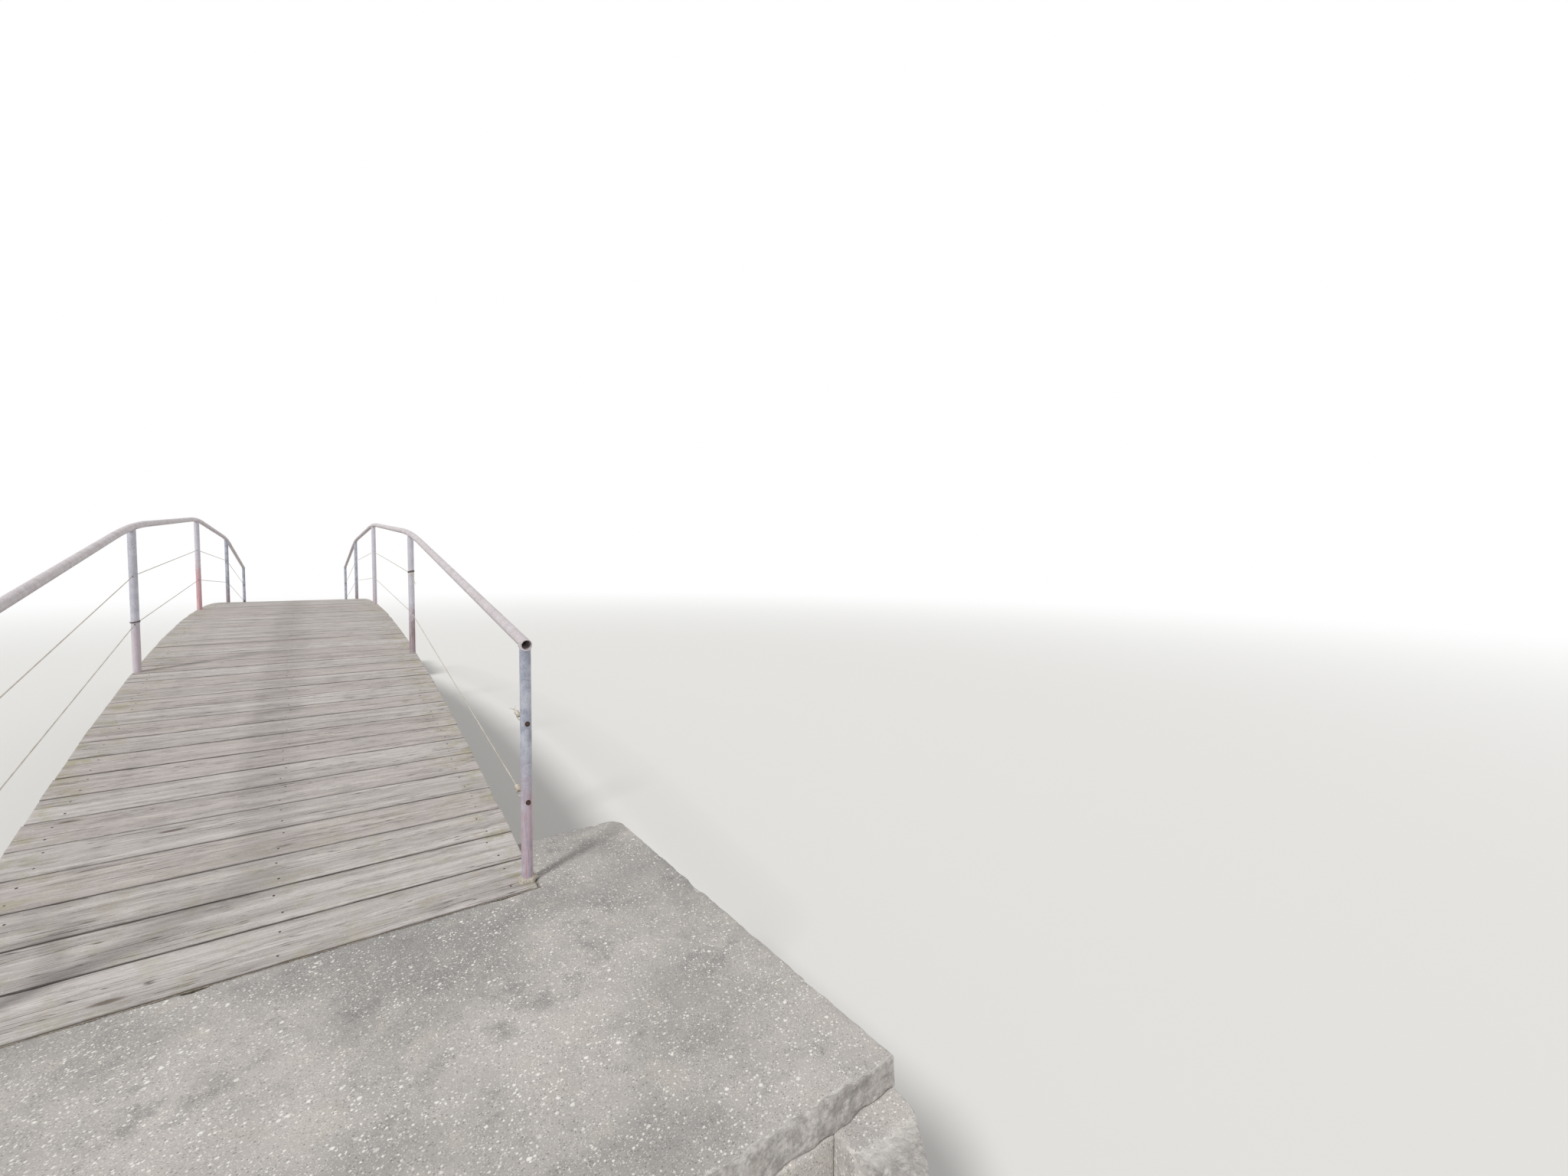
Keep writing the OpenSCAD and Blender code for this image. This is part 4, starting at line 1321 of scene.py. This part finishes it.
def wires():
    for name, side in SIDES:
        lower, upper = Wire(side, LOWER_WIRE_H), Wire(side, UPPER_WIRE_H)
        upper_parts = upper.parted() if side == RIGHT else upper.run(upper.start)
        for level, parts in (("lower", lower.run(lower.start)), ("upper", upper_parts)):
            node = f"{name}_{level}_wire"
            add_piece(node + "_strands", parts, WIRE, node, 60)
        fittings = [*lower.eye_bolt(), *upper.eye_bolt(), *lower.chain()]
        for end, far in ENDS:
            parts = map(mirrored, fittings) if far else fittings
            node = f"{end}_{name}_wire_fittings"
            add_piece(f"{end}_{name}_hardware", parts, RUST, node, 35)
    ties = [Wire(LEFT, LOWER_WIRE_H).tie(2.3, 1), Wire(RIGHT, UPPER_WIRE_H).tie(3.2, 2)]
    add_piece("post_ties", ties, RUST)


# Fasteners and mortar

BOLT_R = 0.006
BOLT_DROPS = (0.085, 0.300)
HEX_W = 0.019
HEAD_H = 0.0075
NUT_H = 0.010
WIDE_WASHER_T = 0.004
HEAD_WASHER = ((-0.002, 0.0140), (0.0006, 0.0152), (0.0024, 0.0152), (0.003, 0.0144))
WIDE_WASHER = ((0, 0.0240), (0.0006, 0.0250), (0.0034, 0.0250), (0.004, 0.0242))
SHOE_WASHER = ((0, 0.0115), (0.002, 0.0120), (0.003, 0.0114))
SHOE_PLATE_T = 0.012
FLANGE_NUT_OUT = STRINGER_W / 2 + 0.0292
EAR_BOLT_OUT = STRINGER_W / 2 + 0.0082
EAR_BOLT_H = 0.085
EAR_BOLT_SHARES = (0.28, 0.72)
COLLAR_SIDES = 40
COLLAR_W = 0.017
COLLAR_STEPS = ((0.0, 0.010), (0.5, 0.007), (0.85, 0.002), (1.0, -0.006))
DIRT_REACH = 0.20
DIRT_OUTLINE = ((-0.034, -0.0027), (-0.006, -0.0028), (-0.0026, -0.0029), (-0.0012, 0.0), (-0.0020, 0.0050),
                (-0.006, 0.0028), (-0.034, 0.0027))


def through_bolt(side, i, drop):
    """Bolt through a post and its stringer: head outside, nut and tail inside."""
    y, z = station_y(i), foot_z(i) - PLANK_T - drop
    out = side * ALONG_X
    outer = np.array([side * (POST_X + PIPE_R), y, z])
    inner = np.array([side * (OUTER_STRINGER_X - STRINGER_W / 2), y, z])
    return [turned(HEAD_WASHER, outer, out, 28),
            hex_nut(outer + out * WASHER_T, out, HEX_W, HEAD_H, 0.3 * i),
            turned(WIDE_WASHER, inner, -out, 28),
            hex_nut(inner - out * WIDE_WASHER_T, -out, HEX_W, NUT_H, 0.2 + drop),
            threaded_end(inner - out * (WIDE_WASHER_T + NUT_H), -out, 0.012, BOLT_R)]


def shoe_bolts():
    """Anchor nuts on the near shoes' flanges and bolt heads on their ears."""
    low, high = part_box("near_bearing_shoes")
    parts = []
    for x, side in itertools.product(STRINGER_XS, (LEFT, RIGHT)):
        flange = np.array([x + side * FLANGE_NUT_OUT, (low.y + high.y) / 2, low.z + SHOE_PLATE_T])
        parts.append(turned(SHOE_WASHER, flange, UP, 24))
        parts.append(hex_nut(flange + UP * WASHER_T, UP, HEX_W, NUT_H, 0.4))
        parts.append(threaded_end(flange + UP * (WASHER_T + NUT_H), UP, 0.014, BOLT_R))
        for share in EAR_BOLT_SHARES:
            ear = np.array([x + side * EAR_BOLT_OUT, low.y + share * (high.y - low.y), low.z + EAR_BOLT_H])
            parts.append(hex_nut(ear, side * ALONG_X, HEX_W, 0.008, share))
    return parts


def mortar_collar(side):
    """Mortar packed round a near post where it enters the concrete."""
    angle = round_angles(COLLAR_SIDES)
    x, y, z = side * POST_X, station_y(0), foot_z(0)
    rows = []
    for share, height in COLLAR_STEPS:
        spread = 1 + 0.30 * np.sin(angle * 2 + 1) * share + 0.22 * np.sin(angle * 5 + side) * share
        radius = PIPE_R + 0.0003 + COLLAR_W * share * spread
        row = np.stack([x + radius * np.cos(angle), y + radius * np.sin(angle), 0 * angle + z + height], 1)
        row[:, 2] += 0.0016 * lumps(row, 0.012, 90 + side) - (y - row[:, 1]) * math.tan(DECK_HALF_ANGLE) * 0.6
        rows.append(row)
    return np.concatenate(rows), ring_faces(len(rows), COLLAR_SIDES, capped=False, flipped=True)


def joint_dirt():
    """Dirt packed between the deck's near end and the concrete, on three sides, its top uneven."""
    middle = POCKET_GAP / 2
    x, end_y, side_y = POCKET_X - middle, middle - POCKET_Y, DIRT_REACH - POCKET_Y
    path = [(-x, side_y, LANDING_Z), (-x, end_y, LANDING_Z), (x, end_y, LANDING_Z), (x, side_y, LANDING_Z)]
    points, faces = sweep(resampled(path, 0.005), np.array(DIRT_OUTLINE))
    upper = points[:, 2] > LANDING_Z - 0.02
    points[upper, 2] += layered(points[upper], (0.0012, 0.05, 95), (0.0008, 0.012, 96))
    return points, faces


def fasteners():
    for name, side in SIDES:
        bolts = [through_bolt(side, i, drop) for i in range(1, BAYS) for drop in BOLT_DROPS]
        add_piece(name + "_post_bolts", itertools.chain(*bolts), RUST, None, 35)
    collars = [mortar_collar(side) for side in (LEFT, RIGHT)]
    kinds = (("shoe_bolts", shoe_bolts(), RUST, "rusty_steel", 35),
             ("mortar", collars, MORTAR, "concrete", 60),
             ("joint_dirt", [joint_dirt()], DIRT, "concrete", 60))
    for end, far in ENDS:
        paint_node(end + "_bearing_shoes", SHOE_STEEL)
        for name, parts, material, slot, sharp_angle in kinds:
            parts = map(mirrored, parts) if far else parts
            add_piece(f"{end}_{name}", parts, material, None, sharp_angle)


# Camera, floor and light

# Each lamp's name, azimuth and elevation in degrees, strength, and softness in degrees
LAMPS = (("key", -62, 46, 2.15, 9), ("fill", 60, 35, 0.45, 40))
CAMERA_PLACE = Vector((0.105, -10.290, 3.093))
CAMERA_YAW = math.radians(37.06)
CAMERA_PITCH = math.radians(3.04)
CAMERA_ROLL = math.radians(0.63)
SENSOR_W = 36.0
FOCAL_PIXELS = 833.68
PHOTO_W = 2048
CLIP_START = 0.05
CLIP_END = 500.0
FLOOR_SHADE = (226, 225, 222)
FLOOR_HALF = 160.0
FLOOR_FADE = (12.0, 45.0)
LIGHT_ON_BRIDGE = 0.42


def camera():
    """The photograph's own view: the camera stands behind the near landing and looks to the right."""
    data = bpy.data.cameras.new("camera")
    data.sensor_width = SENSOR_W
    data.lens = SENSOR_W * FOCAL_PIXELS / PHOTO_W
    data.clip_start = CLIP_START
    data.clip_end = CLIP_END
    eye = new_object("camera", data)
    place = Matrix.Translation(CAMERA_PLACE)
    for angle, axis in ((-CAMERA_YAW, "Z"), (math.pi / 2 - CAMERA_PITCH, "X"), (CAMERA_ROLL, "Z")):
        place = place @ Matrix.Rotation(angle, 4, axis)
    eye.matrix_world = place
    bpy.context.scene.camera = eye


def floor():
    """Pale floor that fades to the white background far from the bridge."""
    corners = [(x * FLOOR_HALF, y * FLOOR_HALF, 0.0) for x, y in ((-1, -1), (1, -1), (1, 1), (-1, 1))]
    sheet = new_object("floor", make_mesh("floor", corners, [[0, 1, 2, 3]], 180))
    look = Look("floor")
    look.base = colour(*FLOOR_SHADE)
    sheet.data.materials.append(look.finish(0.9))
    away = look.length(look.scaled(look.place(), (1.0, 1.0, 0.0)))
    glow = look.add("Emission", {"Color": (1, 1, 1, 1), "Strength": 1.0}, "Emission")
    lit = Output(look, look.shader.outputs["BSDF"])
    mixed = look.add("MixShader", {0: look.between(away, *FLOOR_FADE), 1: lit, 2: glow}, "Shader")
    ends = [node for node in look.tree.nodes if node.type == "OUTPUT_MATERIAL"]
    look.feed(ends[0].inputs["Surface"], mixed)


def sun(name, azimuth, elevation, strength, softness):
    """Soft lamp far away. Azimuth 0 is behind the camera's end of the bridge, 90 is on its right."""
    data = bpy.data.lights.new(name, "SUN")
    data.energy = strength
    data.angle = math.radians(softness)
    lamp = new_object(name, data)
    a, e = math.radians(azimuth), math.radians(elevation)
    towards = Vector((math.sin(a) * math.cos(e), -math.cos(a) * math.cos(e), math.sin(e)))
    lamp.rotation_mode = "QUATERNION"
    lamp.rotation_quaternion = towards.to_track_quat("Z", "Y")


def studio():
    """Plain soft light, with a background that shows white."""
    for lamp in LAMPS:
        sun(*lamp)
    world = bpy.data.worlds.new("studio")
    bpy.context.scene.world = world
    world.use_nodes = True
    nodes = Nodes(world.node_tree)
    rays = ("Is Camera Ray", "Is Glossy Ray", "Is Transmission Ray")
    seen, glossy, through = nodes.add("LightPath", {}, *rays)
    seen = nodes.math("MAXIMUM", nodes.math("MAXIMUM", seen, glossy), through)
    level = nodes.add("MapRange", {"Value": seen, "To Min": LIGHT_ON_BRIDGE, "To Max": 1.0}, "Result")
    background = nodes.tree.nodes["Background"]
    nodes.feed(background.inputs["Color"], (1, 1, 1, 1))
    nodes.feed(background.inputs["Strength"], level)
    bpy.context.scene.view_settings.view_transform = "Standard"


camera()
abutments()
deck()
stringers()
railing()
wires()
fasteners()
floor()
studio()
